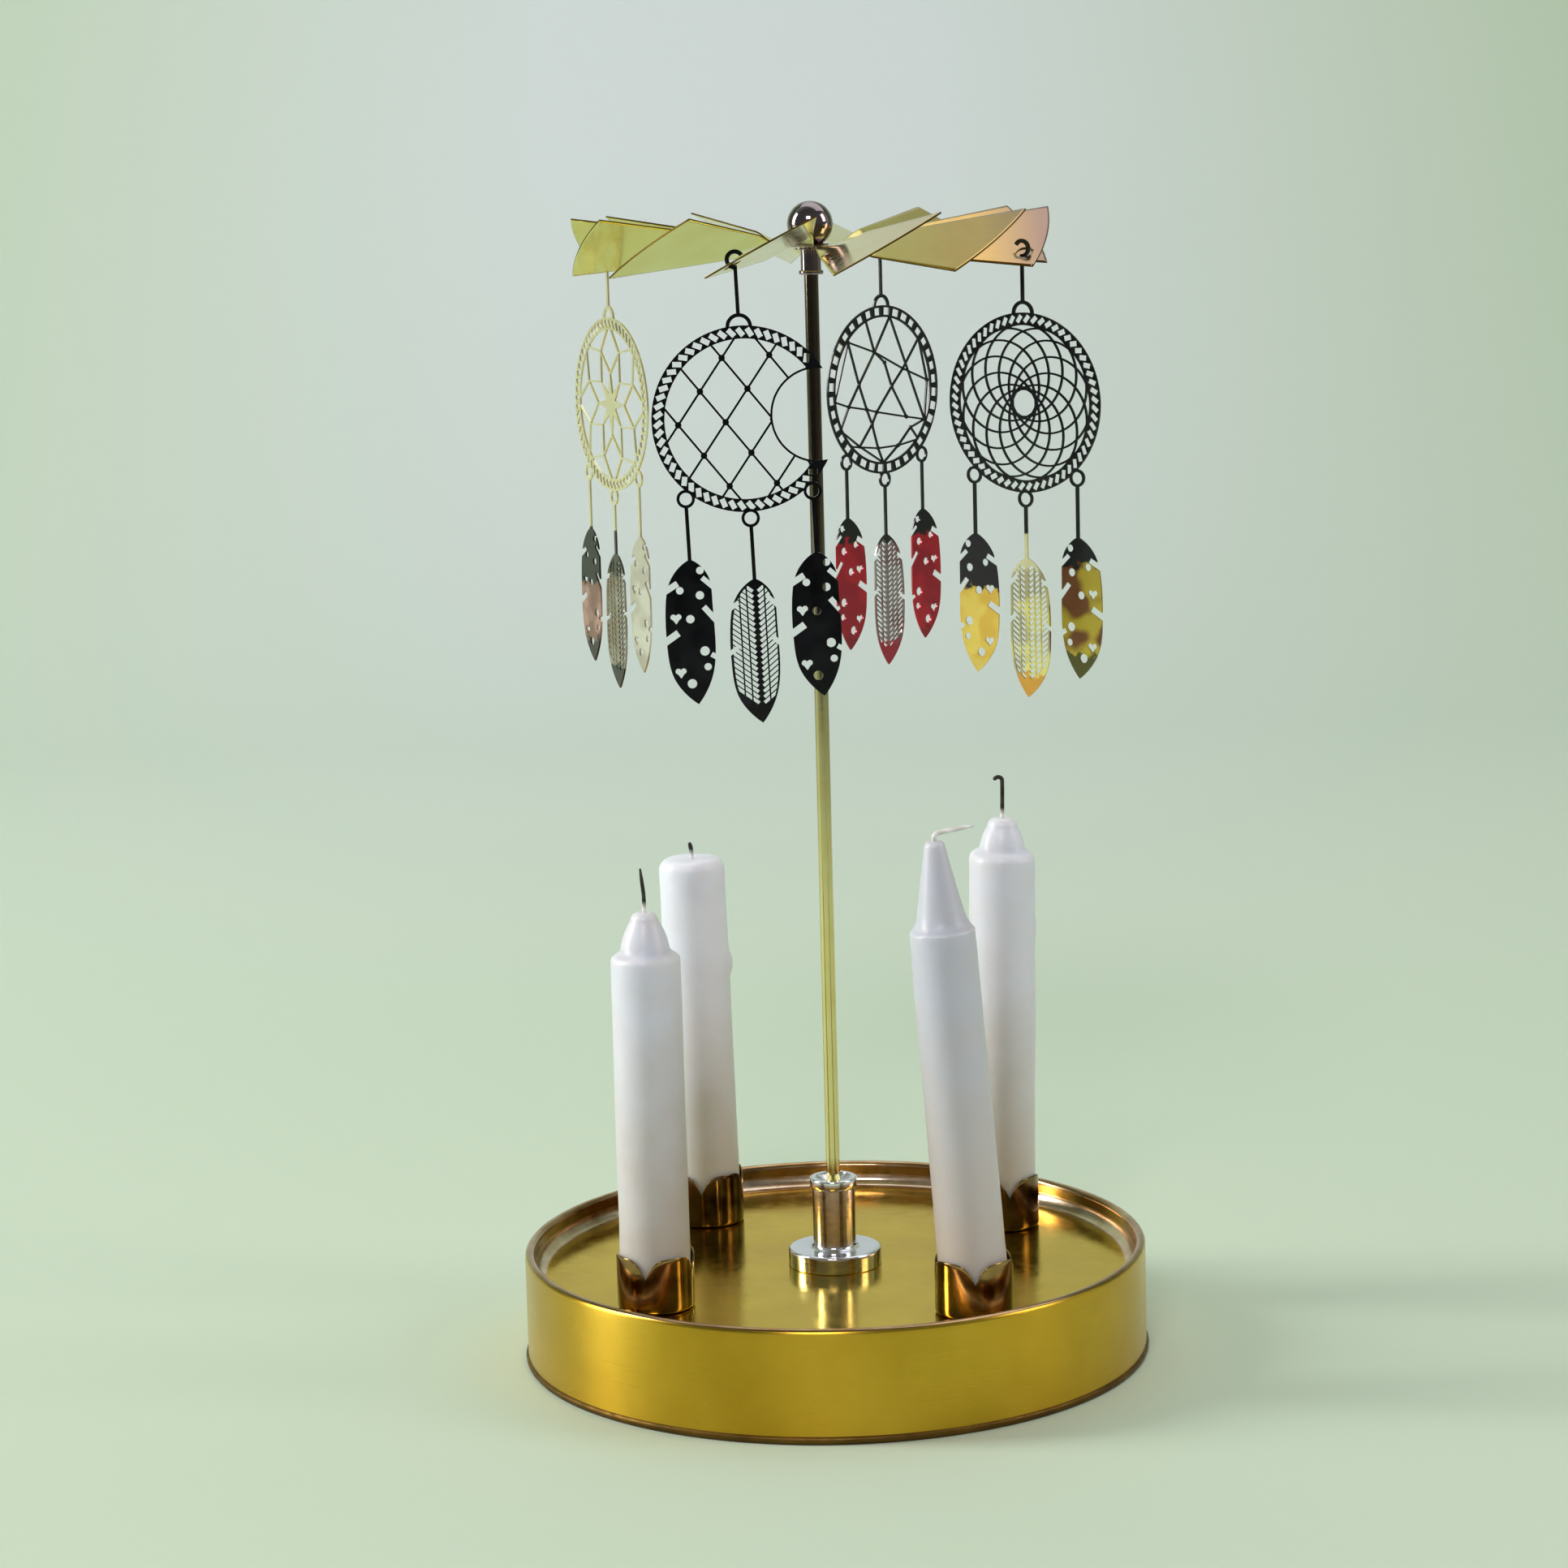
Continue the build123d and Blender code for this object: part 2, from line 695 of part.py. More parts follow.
def centre_feather():
    """Leaf with a vein and a mesh of slanted slots and ribs on both sides."""
    half = feather_width / 2
    leaf = feather_blank(feather_width, feather_length)
    border = feather_blank(feather_width - 2 * feather_vein, feather_length - 2 * feather_vein)
    pitch = feather_length * (mesh_end_share - mesh_start_share) / mesh_rows
    slots = []
    for row in range(mesh_rows):
        drop = -feather_length * mesh_start_share - (row + 0.5) * pitch
        for side in (-1, 1):
            slot = Rectangle(half * mesh_reach_share, pitch * mesh_slot_share, align=(Align.MIN, Align.CENTER))
            tilted = Rot(0, 0, 90 - side * mesh_angle) * slot
            slots.append(Pos(side * half * mesh_root_share, drop) * tilted)
    vein = Rectangle(feather_vein, feather_length, align=UNDER_EDGE)
    rib = Rectangle(mesh_rib, feather_length, align=UNDER_EDGE)
    ribs = [Pos(share * half, 0) * rib for share in mesh_rib_shares]
    mesh = (Sketch() + slots) & (Pos(0, -feather_vein) * border)
    return leaf - (mesh - vein - ribs) - notch_cuts(mesh_notch_shares)


def hook():
    """Open hook at the top of a pendant, centred on the origin."""
    reach = 2 * hook_radius
    opening = hook_open_angle
    far = (reach * cos(radians(opening)), reach * sin(radians(opening)))
    mouth = Polyline((0, 0), far, (reach, -reach), (0, -reach), close=True)
    return arc_band(hook_radius, hook_line) - make_face(mouth)


def pendant(web):
    """Whole pendant: hook, stem, loop, web ring and three feathers on stems."""
    stem_top = -hook_radius + hook_line
    stem_bottom = stem_top - hook_line - top_stem_length
    stem_length = stem_top - stem_bottom + stem_line / 2
    loop_base = stem_bottom - top_loop_radius
    upper_half = Rectangle(2 * top_loop_radius, top_loop_radius, align=ON_EDGE)
    half_loop = arc_band(top_loop_radius, stem_line) & upper_half
    ring_centre = loop_base - ring_radius + stem_line / 4
    pieces = [
        Pos(0, stem_top) * Rectangle(stem_line, stem_length, align=UNDER_EDGE),
        Pos(0, loop_base) * half_loop,
        Pos(0, ring_centre) * web,
    ]
    loop_reach = ring_radius + loop_radius - loop_line
    side_leaf = side_feather()
    leaves = ((-side_loop_angle, side_leaf), (0, centre_feather()), (side_loop_angle, side_leaf))
    for angle, leaf in leaves:
        x = loop_reach * sin(radians(angle))
        y = ring_centre - loop_reach * cos(radians(angle))
        pieces.append(Pos(x, y) * arc_band(loop_radius, loop_line))
        stem_start = y - loop_radius + loop_line / 2
        length = feather_stem_length + feather_vein
        pieces.append(Pos(x, stem_start) * Rectangle(stem_line, length, align=UNDER_EDGE))
        pieces.append(Pos(x, stem_start - feather_stem_length) * leaf)
    return hook() + pieces


def hang(outline, place_index):
    """Pendant as a flat sheet, turned the way it hangs from its vane."""
    vane = Rot(0, 0, vane_azimuth(vanes_per_pendant * place_index))
    hole = (vane * Pos(hook_hole_place())).position + Vector(0, 0, fan_height)
    turn = radians(pendant_turns[place_index])
    along = Vector(cos(turn), sin(turn), 0)
    origin = hole + along * hook_offset + Vector(0, 0, hook_rise)
    plane = Plane(origin=origin, x_dir=along, z_dir=along.cross(Vector(0, 0, 1)))
    print("hook", place_index, [round(v, 3) for v in origin], "normal", [round(v, 4) for v in plane.z_dir])
    leaned = Rot(0, 0, pendant_tilts[place_index]) * outline
    return extrude(plane.offset(-pendant_sheet / 2) * leaned, pendant_sheet)


def candle_place(index, lean):
    """Seat of one candle, leaned about the middle of its cup."""
    seat = cup_places()[index].position
    return Pos(seat.X, seat.Y, candle_base + cup_height / 2) * Rot(0, lean, 0)


def candle(index, length, tip_rise, tip_radius, lean):
    """Candle with a stepped tip and a bore for its wick."""
    base = -cup_height / 2
    shoulder = base + length
    top = shoulder + tip_rise
    foot_radius = candle_radius * candle_foot_shares[index]
    shoulder_radius = candle_radius * candle_shoulder_shares[index]
    step_radius = candle_radius * candle_tip_base_share
    round_radius = min(tip_radius, tip_rise) * candle_round_share
    bore = wick_radius + wick_clearance
    bow_across, bow_up = candle_bow_shares
    middle = (tip_radius + (step_radius - tip_radius) * bow_across, shoulder + tip_rise * bow_up)
    profile = face_of(
        [
            Line((bore, base), (foot_radius, base)),
            Line((foot_radius, base), (shoulder_radius, shoulder)),
            Line((shoulder_radius, shoulder), (step_radius, shoulder)),
            Spline((step_radius, shoulder), middle, (tip_radius, top - round_radius)),
            CenterArc((tip_radius - round_radius, top - round_radius), round_radius, 0, 90),
            Line((tip_radius - round_radius, top), (bore, top)),
            Line((bore, top), (bore, base)),
        ]
    )
    return candle_place(index, lean) * turned(profile)


def wick(name, index, length, lean):
    """Wick through the whole candle, bent where it stands out."""
    straight, bend_radius, turn, end_length = wicks[name]
    base = -cup_height / 2
    start = (0, base + wick_clearance)
    rise = Line(start, (0, base + length + straight))
    bend = JernArc(start=rise @ 1, tangent=rise % 1, radius=bend_radius, arc_size=turn)
    tail = Line(bend @ 1, (bend @ 1) + (bend % 1) * end_length)
    path = Plane.XZ * (Curve() + [rise, bend, tail])
    section = Plane(origin=path @ 0, z_dir=(0, 0, 1)) * Circle(wick_radius)
    return candle_place(index, lean) * sweep(section, path=path)


os.makedirs("parts", exist_ok=True)


def write(shape, node):
    """Write one named piece."""
    export_step(shape, f"parts/{node}.step")
    print(node, "volume", round(shape.volume, 2))


write(base_shell(), "base_shell")
for name, index, length, tip_rise, tip_radius, lean in candles:
    seat = cup_places()[index].position
    write(Pos(seat.X, seat.Y) * candle_cup(petal_valley_turns[index]), f"candle_cup_{name}")
    write(candle(index, length, tip_rise, tip_radius, lean), f"candle_{name}")
    write(wick(name, index, length + tip_rise, lean), f"wick_{name}")
write(cup_rivets(), "cup_rivets")
write(socket(), "socket")
write(socket_washer(), "socket_washer")
write(socket_nut(), "socket_nut")
write(rod(), "rod")
write(pivot_needle(), "pivot_needle")
write(bearing_cup(), "bearing_cup")
write(finial_ball(), "finial_ball")
write(hub_sleeve(), "hub_sleeve")
write(rotor_vanes(), "rotor_vanes")
write(hang(pendant(flower_web()), 0), "pendant_flower")
write(hang(pendant(moon_web()), 1), "pendant_moon")
write(hang(pendant(spiral_web()), 2), "pendant_spiral")
write(hang(pendant(chord_web()), 3), "pendant_chords")
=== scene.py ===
# %% [markdown]
# A candle carousel stands on pale green paper: a round brass tray with four candles, a thin rod,
# and a fan of twisted vanes with four flat dreamcatcher pendants. Warm air from the flames turns
# the fan on a needle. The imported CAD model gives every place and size, and this script dresses it
# for a photograph.

from math import atan, cos, pi, radians, sin, sqrt, tan

import bmesh
import bpy
from mathutils import Matrix, Vector, noise


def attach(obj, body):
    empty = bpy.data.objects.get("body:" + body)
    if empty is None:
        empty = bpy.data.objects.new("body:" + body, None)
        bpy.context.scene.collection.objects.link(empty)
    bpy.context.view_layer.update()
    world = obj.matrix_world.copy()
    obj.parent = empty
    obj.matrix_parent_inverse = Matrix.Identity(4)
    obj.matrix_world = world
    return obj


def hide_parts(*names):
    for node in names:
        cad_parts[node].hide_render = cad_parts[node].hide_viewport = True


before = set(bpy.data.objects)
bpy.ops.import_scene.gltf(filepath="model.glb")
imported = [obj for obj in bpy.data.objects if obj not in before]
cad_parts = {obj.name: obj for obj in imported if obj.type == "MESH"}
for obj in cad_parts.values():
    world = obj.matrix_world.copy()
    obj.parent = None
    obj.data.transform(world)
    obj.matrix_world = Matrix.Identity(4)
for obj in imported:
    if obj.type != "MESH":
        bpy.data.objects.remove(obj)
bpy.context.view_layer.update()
mm = 0.001

# %% [markdown]
# The photograph was taken from about 0.8 m away, a little higher than the fan, with a long lens. A
# short lens close by could give the same size, but the tray's rim and foot would then look
# rounder than they do in the photograph. The camera looks down by nine degrees. It is also turned
# about its own line by a degree and a half, as the object stands a little tilted in the picture.

# %% Camera
lens_mm = 89.44
sensor_mm = 36
nearest_seen = 0.01
camera_place = Vector((-0.00545, -0.8235, 0.25705))
camera_pitch = radians(9.132)
camera_yaw = radians(0.211)
camera_roll = radians(1.5)

level_forward = Vector((-sin(camera_yaw), cos(camera_yaw), 0))
forward = level_forward * cos(camera_pitch) - Vector((0, 0, sin(camera_pitch)))
level_right = Vector((cos(camera_yaw), sin(camera_yaw), 0))
level_up = level_right.cross(forward)
right = level_right * cos(camera_roll) - level_up * sin(camera_roll)
up = level_up * cos(camera_roll) + level_right * sin(camera_roll)

camera_data = bpy.data.cameras.new("camera")
camera_data.lens = lens_mm
camera_data.sensor_width = sensor_mm
camera_data.clip_start = nearest_seen
camera = bpy.data.objects.new("camera", camera_data)
camera_turn = Matrix((right, up, -forward)).transposed().to_4x4()
camera.matrix_world = Matrix.Translation(camera_place) @ camera_turn
bpy.context.scene.collection.objects.link(camera)
bpy.context.scene.camera = camera
bpy.context.scene.view_settings.view_transform = "Standard"
print("camera at", [round(v, 4) for v in camera_place])

# %% [markdown]
# Colours are written as the screen shows them and turned into the linear values that light needs.
# Each material is a small graph of nodes, and one helper adds every node. A pattern could be sized
# by eye, but here its size is given in millimetres of the real surface, so it suits any piece.

# %% Helpers for colours and nodes
def colour(code):
    """Linear colour of a screen colour code such as C8D7BE."""
    parts = [int(code[i:i + 2], 16) / 255 for i in (0, 2, 4)]
    return (*[v / 12.92 if v <= 0.04045 else ((v + 0.055) / 1.055) ** 2.4 for v in parts], 1)


def per_mm(size):
    """Pattern scale for a feature of so many millimetres."""
    return 1 / (size * mm)


def add(tree, kind, inputs=None, **settings):
    """One node, with its settings and with values or links for its inputs."""
    node = tree.nodes.new("ShaderNode" + kind)
    for name, value in settings.items():
        setattr(node, name, value)
    for key, value in (inputs or {}).items():
        if isinstance(value, bpy.types.NodeSocket):
            tree.links.new(value, node.inputs[key])
        else:
            node.inputs[key].default_value = value
    return node


def new_material(name, **sockets):
    """Material with one Principled shader whose even values are set on its sockets."""
    material = bpy.data.materials.new(name)
    material.use_nodes = True
    shader = material.node_tree.nodes["Principled BSDF"]
    for key, value in sockets.items():
        shader.inputs[key.replace("_", " ")].default_value = value
    place = add(material.node_tree, "TexCoord").outputs["Object"]
    return material, material.node_tree, shader, place


print("screen colour C8D7BE in linear light:", [round(v, 3) for v in colour("C8D7BE")])

# %% [markdown]
# No real surface is even. A cloudy noise gives patches of tint, rubbing marks and shallow waves,
# depending on its size and on what it drives. Painted pictures could do the same, but noise needs
# no file and has no seams. It seldom leaves the middle of its range, so only that part is used,
# and it is stretched to the two values that a finish needs.

# %% Helpers for patterns
noise_low = 0.3
noise_high = 0.7


def grain(tree, place, size, detail=3, squash=(1, 1, 1)):
    """Cloudy pattern from 0 to 1 with features of the given size in millimetres."""
    moved = add(tree, "Mapping", {"Vector": place, "Scale": squash}).outputs["Vector"]
    return add(tree, "TexNoise", {"Vector": moved, "Scale": per_mm(size), "Detail": detail}).outputs["Fac"]


def wander(tree, pattern, low, high):
    """Number that follows a cloudy pattern between two values."""
    limits = {"From Min": noise_low, "From Max": noise_high, "To Min": low, "To Max": high}
    return add(tree, "MapRange", {"Value": pattern, **limits}).outputs["Result"]


def change_tone(tree, value, start, end, first, second):
    """Colour that goes from the first to the second while a value goes from start to end."""
    share = add(tree, "MapRange", {"Value": value, "From Min": start, "From Max": end}).outputs["Result"]
    return add(tree, "Mix", {"Factor": share, 6: first, 7: second}, data_type="RGBA").outputs[2]


def shallow_waves(tree, shader, place, size, detail, depth):
    """Waves in the surface, with their size and depth in millimetres."""
    height = grain(tree, place, size, detail)
    bump = add(tree, "Bump", {"Height": height, "Distance": depth * mm, "Strength": 1.0})
    tree.links.new(bump.outputs["Normal"], shader.inputs["Normal"])


print("a pattern of 12 mm has the scale", round(per_mm(12), 2))

# %% [markdown]
# Nearly every hard part here is polished metal: brass, nickel or steel. One shader with an even
# colour would look like plastic foil. Three things make it look real: its tint clouds a little
# where hands and air have touched it, the polishing cloth left marks that change how sharply it
# mirrors, and its surface is never quite flat. The real marks are a few hundredths of a
# millimetre wide, too fine to show, so they are drawn as patches of one to three millimetres.

# %% Helper for polished metal
rub_size = 2.5
rub_detail = 5
wave_size = 22


def polished_metal(
    name, tint, dark_tint, roughness, wave_depth, marks=(1, 1, 3), cloud=12, rub=0.26, **sockets
):
    """Polished metal with clouds of tint, rubbing marks and a little waviness."""
    material, tree, shader, place = new_material(name, Metallic=1.0, **sockets)
    clouds = grain(tree, place, cloud)
    tone = change_tone(tree, clouds, noise_low, noise_high, colour(dark_tint), colour(tint))
    tree.links.new(tone, shader.inputs["Base Color"])
    rubs = grain(tree, place, rub_size, rub_detail, marks)
    rubbed = wander(tree, rubs, roughness * (1 - rub), roughness * (1 + rub))
    tree.links.new(rubbed, shader.inputs["Roughness"])
    shallow_waves(tree, shader, place, wave_size, 1, wave_depth)
    print("metal:", name, "roughness", roughness)
    return material


# %% [markdown]
# The paper backdrop is one sheet that lies flat under the object and rises in a wide curve behind
# it, as in a product studio. A floor and a wall would show a line where they meet, so its side
# line is drawn once, with the curve in it, and extruded over the whole width.

# %% Paper backdrop, its shape
def chain(bm, points, closed=False):
    """Run of vertices joined by edges."""
    verts = [bm.verts.new(point) for point in points]
    edges = [bm.edges.new(pair) for pair in zip(verts, verts[1:])]
    if closed:
        edges.append(bm.edges.new((verts[-1], verts[0])))
    return verts, edges


def finish_mesh(bm, name, sharp_degrees=35):
    """Mesh object with smooth faces and crisp corners."""
    bmesh.ops.recalc_face_normals(bm, faces=bm.faces)
    mesh = bpy.data.meshes.new(name)
    bm.to_mesh(mesh)
    bm.free()
    mesh.shade_smooth()
    mesh.set_sharp_from_angle(angle=radians(sharp_degrees))
    obj = bpy.data.objects.new(name, mesh)
    bpy.context.scene.collection.objects.link(obj)
    return obj


backdrop_width = 9.0
backdrop_front = -1.05
backdrop_bend = 0.9
backdrop_radius = 0.8
backdrop_top = 3.2
bend_steps = 15

bm = bmesh.new()
left_edge = -backdrop_width / 2
side_line = [(left_edge, backdrop_front, 0)]
for step in range(bend_steps + 1):
    angle = radians(90 * step / bend_steps)
    rise = backdrop_radius * (1 - cos(angle))
    side_line.append((left_edge, backdrop_bend + backdrop_radius * sin(angle), rise))
side_line.append((left_edge, backdrop_bend + backdrop_radius, backdrop_top))
verts, edges = chain(bm, side_line)
swept = bmesh.ops.extrude_edge_only(bm, edges=edges)["geom"]
far_verts = [part for part in swept if isinstance(part, bmesh.types.BMVert)]
bmesh.ops.translate(bm, vec=(backdrop_width, 0, 0), verts=far_verts)
backdrop = finish_mesh(bm, "backdrop", 80)
print("backdrop faces", len(backdrop.data.polygons))

# %% [markdown]
# The sheet is uncoated dyed paper, so it is matt and has a fine tooth. It is green near the camera
# and at both sides, and further back it looks paler and bluer in the middle. One more lamp could
# do that, but it would also light the object, so the paper's own colour is changed. Its fibres
# are too fine to show, so the tooth is drawn coarser than it is.

# %% Paper backdrop, its colour
paper_green = "C5D5C2"
paper_pale = "DAE2E4"
paper_aside = "C6D8C1"
pale_start, pale_end = 0.3, 1.5
pale_middle = -0.03
aside_start, aside_end = 0.12, 0.5
paper_tooth = 0.6
tooth_depth = 0.01

# matt paper: no highlight anywhere, and a tooth that breaks up the even colour
paper, tree, shader, place = new_material("matt green paper", Roughness=0.8, Specular_IOR_Level=0.2)
axes = add(tree, "SeparateXYZ", {"Vector": place})
aside = add(tree, "Math", {0: axes.outputs["X"], 1: pale_middle}, operation="SUBTRACT").outputs[0]
aside = add(tree, "Math", {0: aside}, operation="ABSOLUTE").outputs[0]
upper = change_tone(tree, aside, aside_start, aside_end, colour(paper_pale), colour(paper_aside))
sheet_colour = change_tone(tree, axes.outputs["Y"], pale_start, pale_end, colour(paper_green), upper)
tree.links.new(sheet_colour, shader.inputs["Base Color"])
shallow_waves(tree, shader, place, paper_tooth, 3, tooth_depth)
backdrop.data.materials.append(paper)
print("paper goes from green to pale between", pale_start, "and", pale_end, "m behind the object")

# %% [markdown]
# Polished metal shows the room more than its own colour, so the lights are placed for what they
# mirror in it. A tall soft light at the left draws the upright streak on the tray and rounds the
# candles. A wide one hangs over the paper, a small one above the camera lifts the front, and a
# weak one at the right keeps the shadows open.

# %% Lights
def soft_light(name, place, target, width, height, power, tint):
    """Rectangular studio light that faces a target."""
    data = bpy.data.lights.new(name, "AREA")
    data.shape = "RECTANGLE"
    data.size = width
    data.size_y = height
    data.energy = power
    data.color = colour(tint)[:3]
    light = bpy.data.objects.new(name, data)
    aim = Vector(target) - Vector(place)
    light.matrix_world = Matrix.Translation(place) @ aim.to_track_quat("-Z", "Y").to_matrix().to_4x4()
    bpy.context.scene.collection.objects.link(light)
    print(name, "power", power)


candle_middle = (0, 0, 0.12)
soft_light("key_light", (-1.8, 0.06, 0.84), candle_middle, width=0.48, height=1.44, power=34, tint="FFFDF6")
soft_light("top_light", (0.35, 0.75, 1.9), (0.1, 0.35, 0), width=2.4, height=1.4, power=11.8, tint="FBFDFF")
soft_light("front_light", (-0.25, -1.7, 1.35), (0, 0, 0.1), width=0.6, height=0.4, power=13.6, tint="FFF6F8")
soft_light("right_fill", (1.5, -0.3, 0.9), candle_middle, width=0.5, height=0.9, power=7, tint="FFF2EA")

# %% [markdown]
# Polished parts also mirror the room round the paper, which a world shader gives without any
# walls. Towards the camera's side it is dark below the horizon, warmer at the right, and dim grey
# above. The upright parts show it as the dark bands of the photograph, which an even white world
# would wash out. Behind the paper the room is as pale as the sheet.

# %% Room
room_dark = "1A181C"
room_warm = "6A5A50"
room_high = "646A66"
room_back = "BFCCBE"
warm_side_start, warm_side_end = 0.0, 0.9
horizon_start, horizon_end = -0.12, 0.06
back_start, back_end = -0.15, 0.45

room = bpy.data.worlds.new("room")
bpy.context.scene.world = room
room.use_nodes = True
tree = room.node_tree
direction = add(tree, "SeparateXYZ", {"Vector": add(tree, "TexCoord").outputs["Generated"]})
to_right, to_back, to_sky = [direction.outputs[axis] for axis in "XYZ"]
low_front = change_tone(tree, to_right, warm_side_start, warm_side_end, colour(room_dark), colour(room_warm))
front_half = change_tone(tree, to_sky, horizon_start, horizon_end, low_front, colour(room_high))
room_colour = change_tone(tree, to_back, back_start, back_end, front_half, colour(room_back))
tree.links.new(room_colour, tree.nodes["Background"].inputs["Color"])
tree.nodes["Background"].inputs["Strength"].default_value = 1.0
print("room colours", room_dark, room_warm, room_high, room_back)

# %% [markdown]
# Round parts are turned on a lathe or drawn over a round tool, so each is one profile spun about
# its own line. A cylinder with bevels could come close, but a profile also holds hollows, lips and
# fillets. Its corners are short arcs, because a pressed or turned edge is never quite sharp and a
# small round catches the light.

# %% Helpers for round parts
def arc(centre, radius, start, end, count=8):
    """Points along an arc, in degrees, from start to end."""
    steps = [radians(start + (end - start) * i / count) for i in range(count + 1)]
    return [(centre[0] + radius * cos(a), centre[1] + radius * sin(a)) for a in steps]


def along(start, end, count):
    """Evenly spaced points on a straight line, without its last point."""
    return [tuple(s + (e - s) * i / count for s, e in zip(start, end)) for i in range(count)]


def spun(name, profile, steps=128, closed=True, sharp_degrees=35, change=None):
    """Round piece from a profile of radius and height in millimetres."""
    bm = bmesh.new()
    points = [(radius * mm, 0, height * mm) for radius, height in profile]
    verts, edges = chain(bm, points, closed)
    bmesh.ops.spin(
        bm, geom=verts + edges, cent=(0, 0, 0), axis=(0, 0, 1), angle=2 * pi, steps=steps, use_merge=True
    )
    bmesh.ops.remove_doubles(bm, verts=bm.verts, dist=0.001 * mm)
    if change:
        change(bm)
    return finish_mesh(bm, name, sharp_degrees)


def place_piece(piece, body, slot, material, *nodes):
    """Give a piece its body and its material, and hide the CAD nodes it stands for. The slot is not used."""
    if material:
        piece.data.materials.append(material)
    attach(piece, body)
    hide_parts(*nodes)
    print(piece.name, "faces", len(piece.data.polygons))


print("a quarter of a round edge has", len(arc((0, 0), 1, 0, 90)), "points")

# %% [markdown]
# The tray is one sheet of brass. It is drawn into a low drum, its rim is folded over, its floor is
# sunk below the rim, and its foot is rolled into a bead. A Solidify modifier could give an open
# profile its thickness, but the fold and the bead are rounder than the sheet, so both sides of
# the sheet are drawn in one closed profile.

# %% Tray, its shape
tray_radius = 67.5
tray_height = 24.0
rim_width = 2.2
sheet = 0.8
floor_top = 18.5
corner_round = 2.6
foot_bead = 0.9
bead_angle = 63.6
wall_start = 3
rim_band = 0.4
corner_gap = 1
stud_hole = 3.1

rim_round = rim_width / 2
inner_radius = tray_radius - rim_width
rim_centre = (tray_radius - rim_round, tray_height - rim_round)
corner = (inner_radius - corner_round, floor_top + corner_round)
bead_centre = (tray_radius - sheet / 2, foot_bead)
profile = arc(bead_centre, foot_bead, -bead_angle, bead_angle, 10)
profile += along((tray_radius, wall_start), (tray_radius, rim_centre[1]), 12)
profile += arc(rim_centre, rim_round, 0, 180, 14)
profile += along((inner_radius, rim_centre[1] - rim_band), (inner_radius, corner[1]), 3)
profile += arc(corner, corner_round, 0, -90, 10)
profile += along((corner[0] - corner_gap, floor_top), (stud_hole, floor_top), 12)
profile += [(stud_hole, floor_top), (stud_hole, floor_top - sheet)]
profile += arc(corner, corner_round + sheet, -90, 0, 8)
profile += arc(rim_centre, rim_round - sheet, 180, 0, 6)
profile += arc(bead_centre, foot_bead, 180 - bead_angle, 180 + bead_angle, 8)
profile += [(tray_radius - sheet, 0), (tray_radius, 0)]
tray = spun("tray", profile, 256)

# %% [markdown]
# The one sheet was finished in five ways. The wall was polished while it turned, so its marks run
# round it and draw a light out into an upright streak, which takes an anisotropic shader. The
# floor is nearly a mirror. The folded rim and the inner wall are browner and pinker, partly as a
# painted reflection of the candles in the inner wall. The corner is painted pale, a painted
# reflection of the bright room in its round. The foot is dull and painted dark brown, as painted
# shade where the tray stands. Five pieces could carry the five finishes, but it is one sheet, so
# each face gets its finish by where it lies.

# %% Tray, its brass
# marks that run round and hardly show, and an upright streak of light
wall_brass = polished_metal(
    "turned brass wall", "DCB33C", "C49A2A", 0.29, 0.02, marks=(0.1, 0.1, 8), cloud=30, rub=0.07,
    Anisotropic=0.8, Anisotropic_Rotation=0.25
)
tree = wall_brass.node_tree
tangent = add(tree, "Tangent", direction_type="RADIAL", axis="Z")
tree.links.new(tangent.outputs["Tangent"], tree.nodes["Principled BSDF"].inputs["Tangent"])
# mirror images with wavy outlines, and yellow even where they are seen at a low angle
floor_brass = polished_metal(
    "mirror brass floor", "DCBC3A", "CAA834", 0.16, 0.14, marks=(1, 1, 1), cloud=18,
    Specular_Tint=colour("FAF4DE")
)
# a warm line of light along the fold, brownish beside the yellow wall; on the inner wall its
# pinker tint is partly painted reflection of the candles
rim_brass = polished_metal("folded rim brass", "C4A07C", "9C7448", 0.16, 0.03, marks=(1, 1, 1), cloud=9)
# painted shade: a dull dark brown line where the tray stands
shaded_foot_brass = polished_metal("rolled foot brass", "7A5C2A", "54401E", 0.5, 0.02)
# painted reflection: a pale ring round the floor, where its round corner mirrors the bright room
corner_reflection_brass = polished_metal("pale corner brass", "E6CCB6", "C6A486", 0.2, 0.04, marks=(1, 1, 1), cloud=6)

inner_margin = 0.2
outer_margin = 0.25
corner_margin = 0.03
floor_margin = 0.1
brasses = (wall_brass, floor_brass, rim_brass, shaded_foot_brass, corner_reflection_brass)
for material in brasses:
    tray.data.materials.append(material)
wall_index, floor_index, rim_index, shaded_foot_index, corner_reflection_index = range(len(brasses))
for face in tray.data.polygons:
    middle = face.center / mm
    reach = Vector((middle.x, middle.y)).length
    face.material_index = wall_index
    if middle.z < 2 * foot_bead:
        face.material_index = shaded_foot_index
    elif middle.z > corner[1] and reach < tray_radius - outer_margin:
        face.material_index = rim_index
    elif middle.z > floor_top + corner_margin and reach < inner_radius + inner_margin:
        face.material_index = corner_reflection_index
    elif middle.z > floor_top - floor_margin and reach < inner_radius + inner_margin:
        face.material_index = floor_index
place_piece(tray, "tray", "tray_brass", None, "base_shell")

# %% [markdown]
# Each cup is pressed from thinner brass, and its wall is cut into four round petals that hold the
# candle. The petals could be cut out with another shape, but that leaves ragged faces. Here the
# upper half of a plain spun cup is pulled down between the petals, deepest where two of them meet.

# %% Candle cups, their petals
cup_names = ("front_left", "front_right", "back_right", "back_left")
valley_turns = (-14.0, 0.0, 10.0, -8.0)
cup_circle = 47.6
cup_first_azimuth = -143.2
cup_height = 12.0
petal_depth = 4.4
petal_half_width = 5.4
petal_roundness = 3.3


def cup_centre(index):
    """Middle of a cup on the tray floor, in millimetres."""
    azimuth = radians(cup_first_azimuth + 90 * index)
    return Vector((cup_circle * cos(azimuth), cup_circle * sin(azimuth), 0))


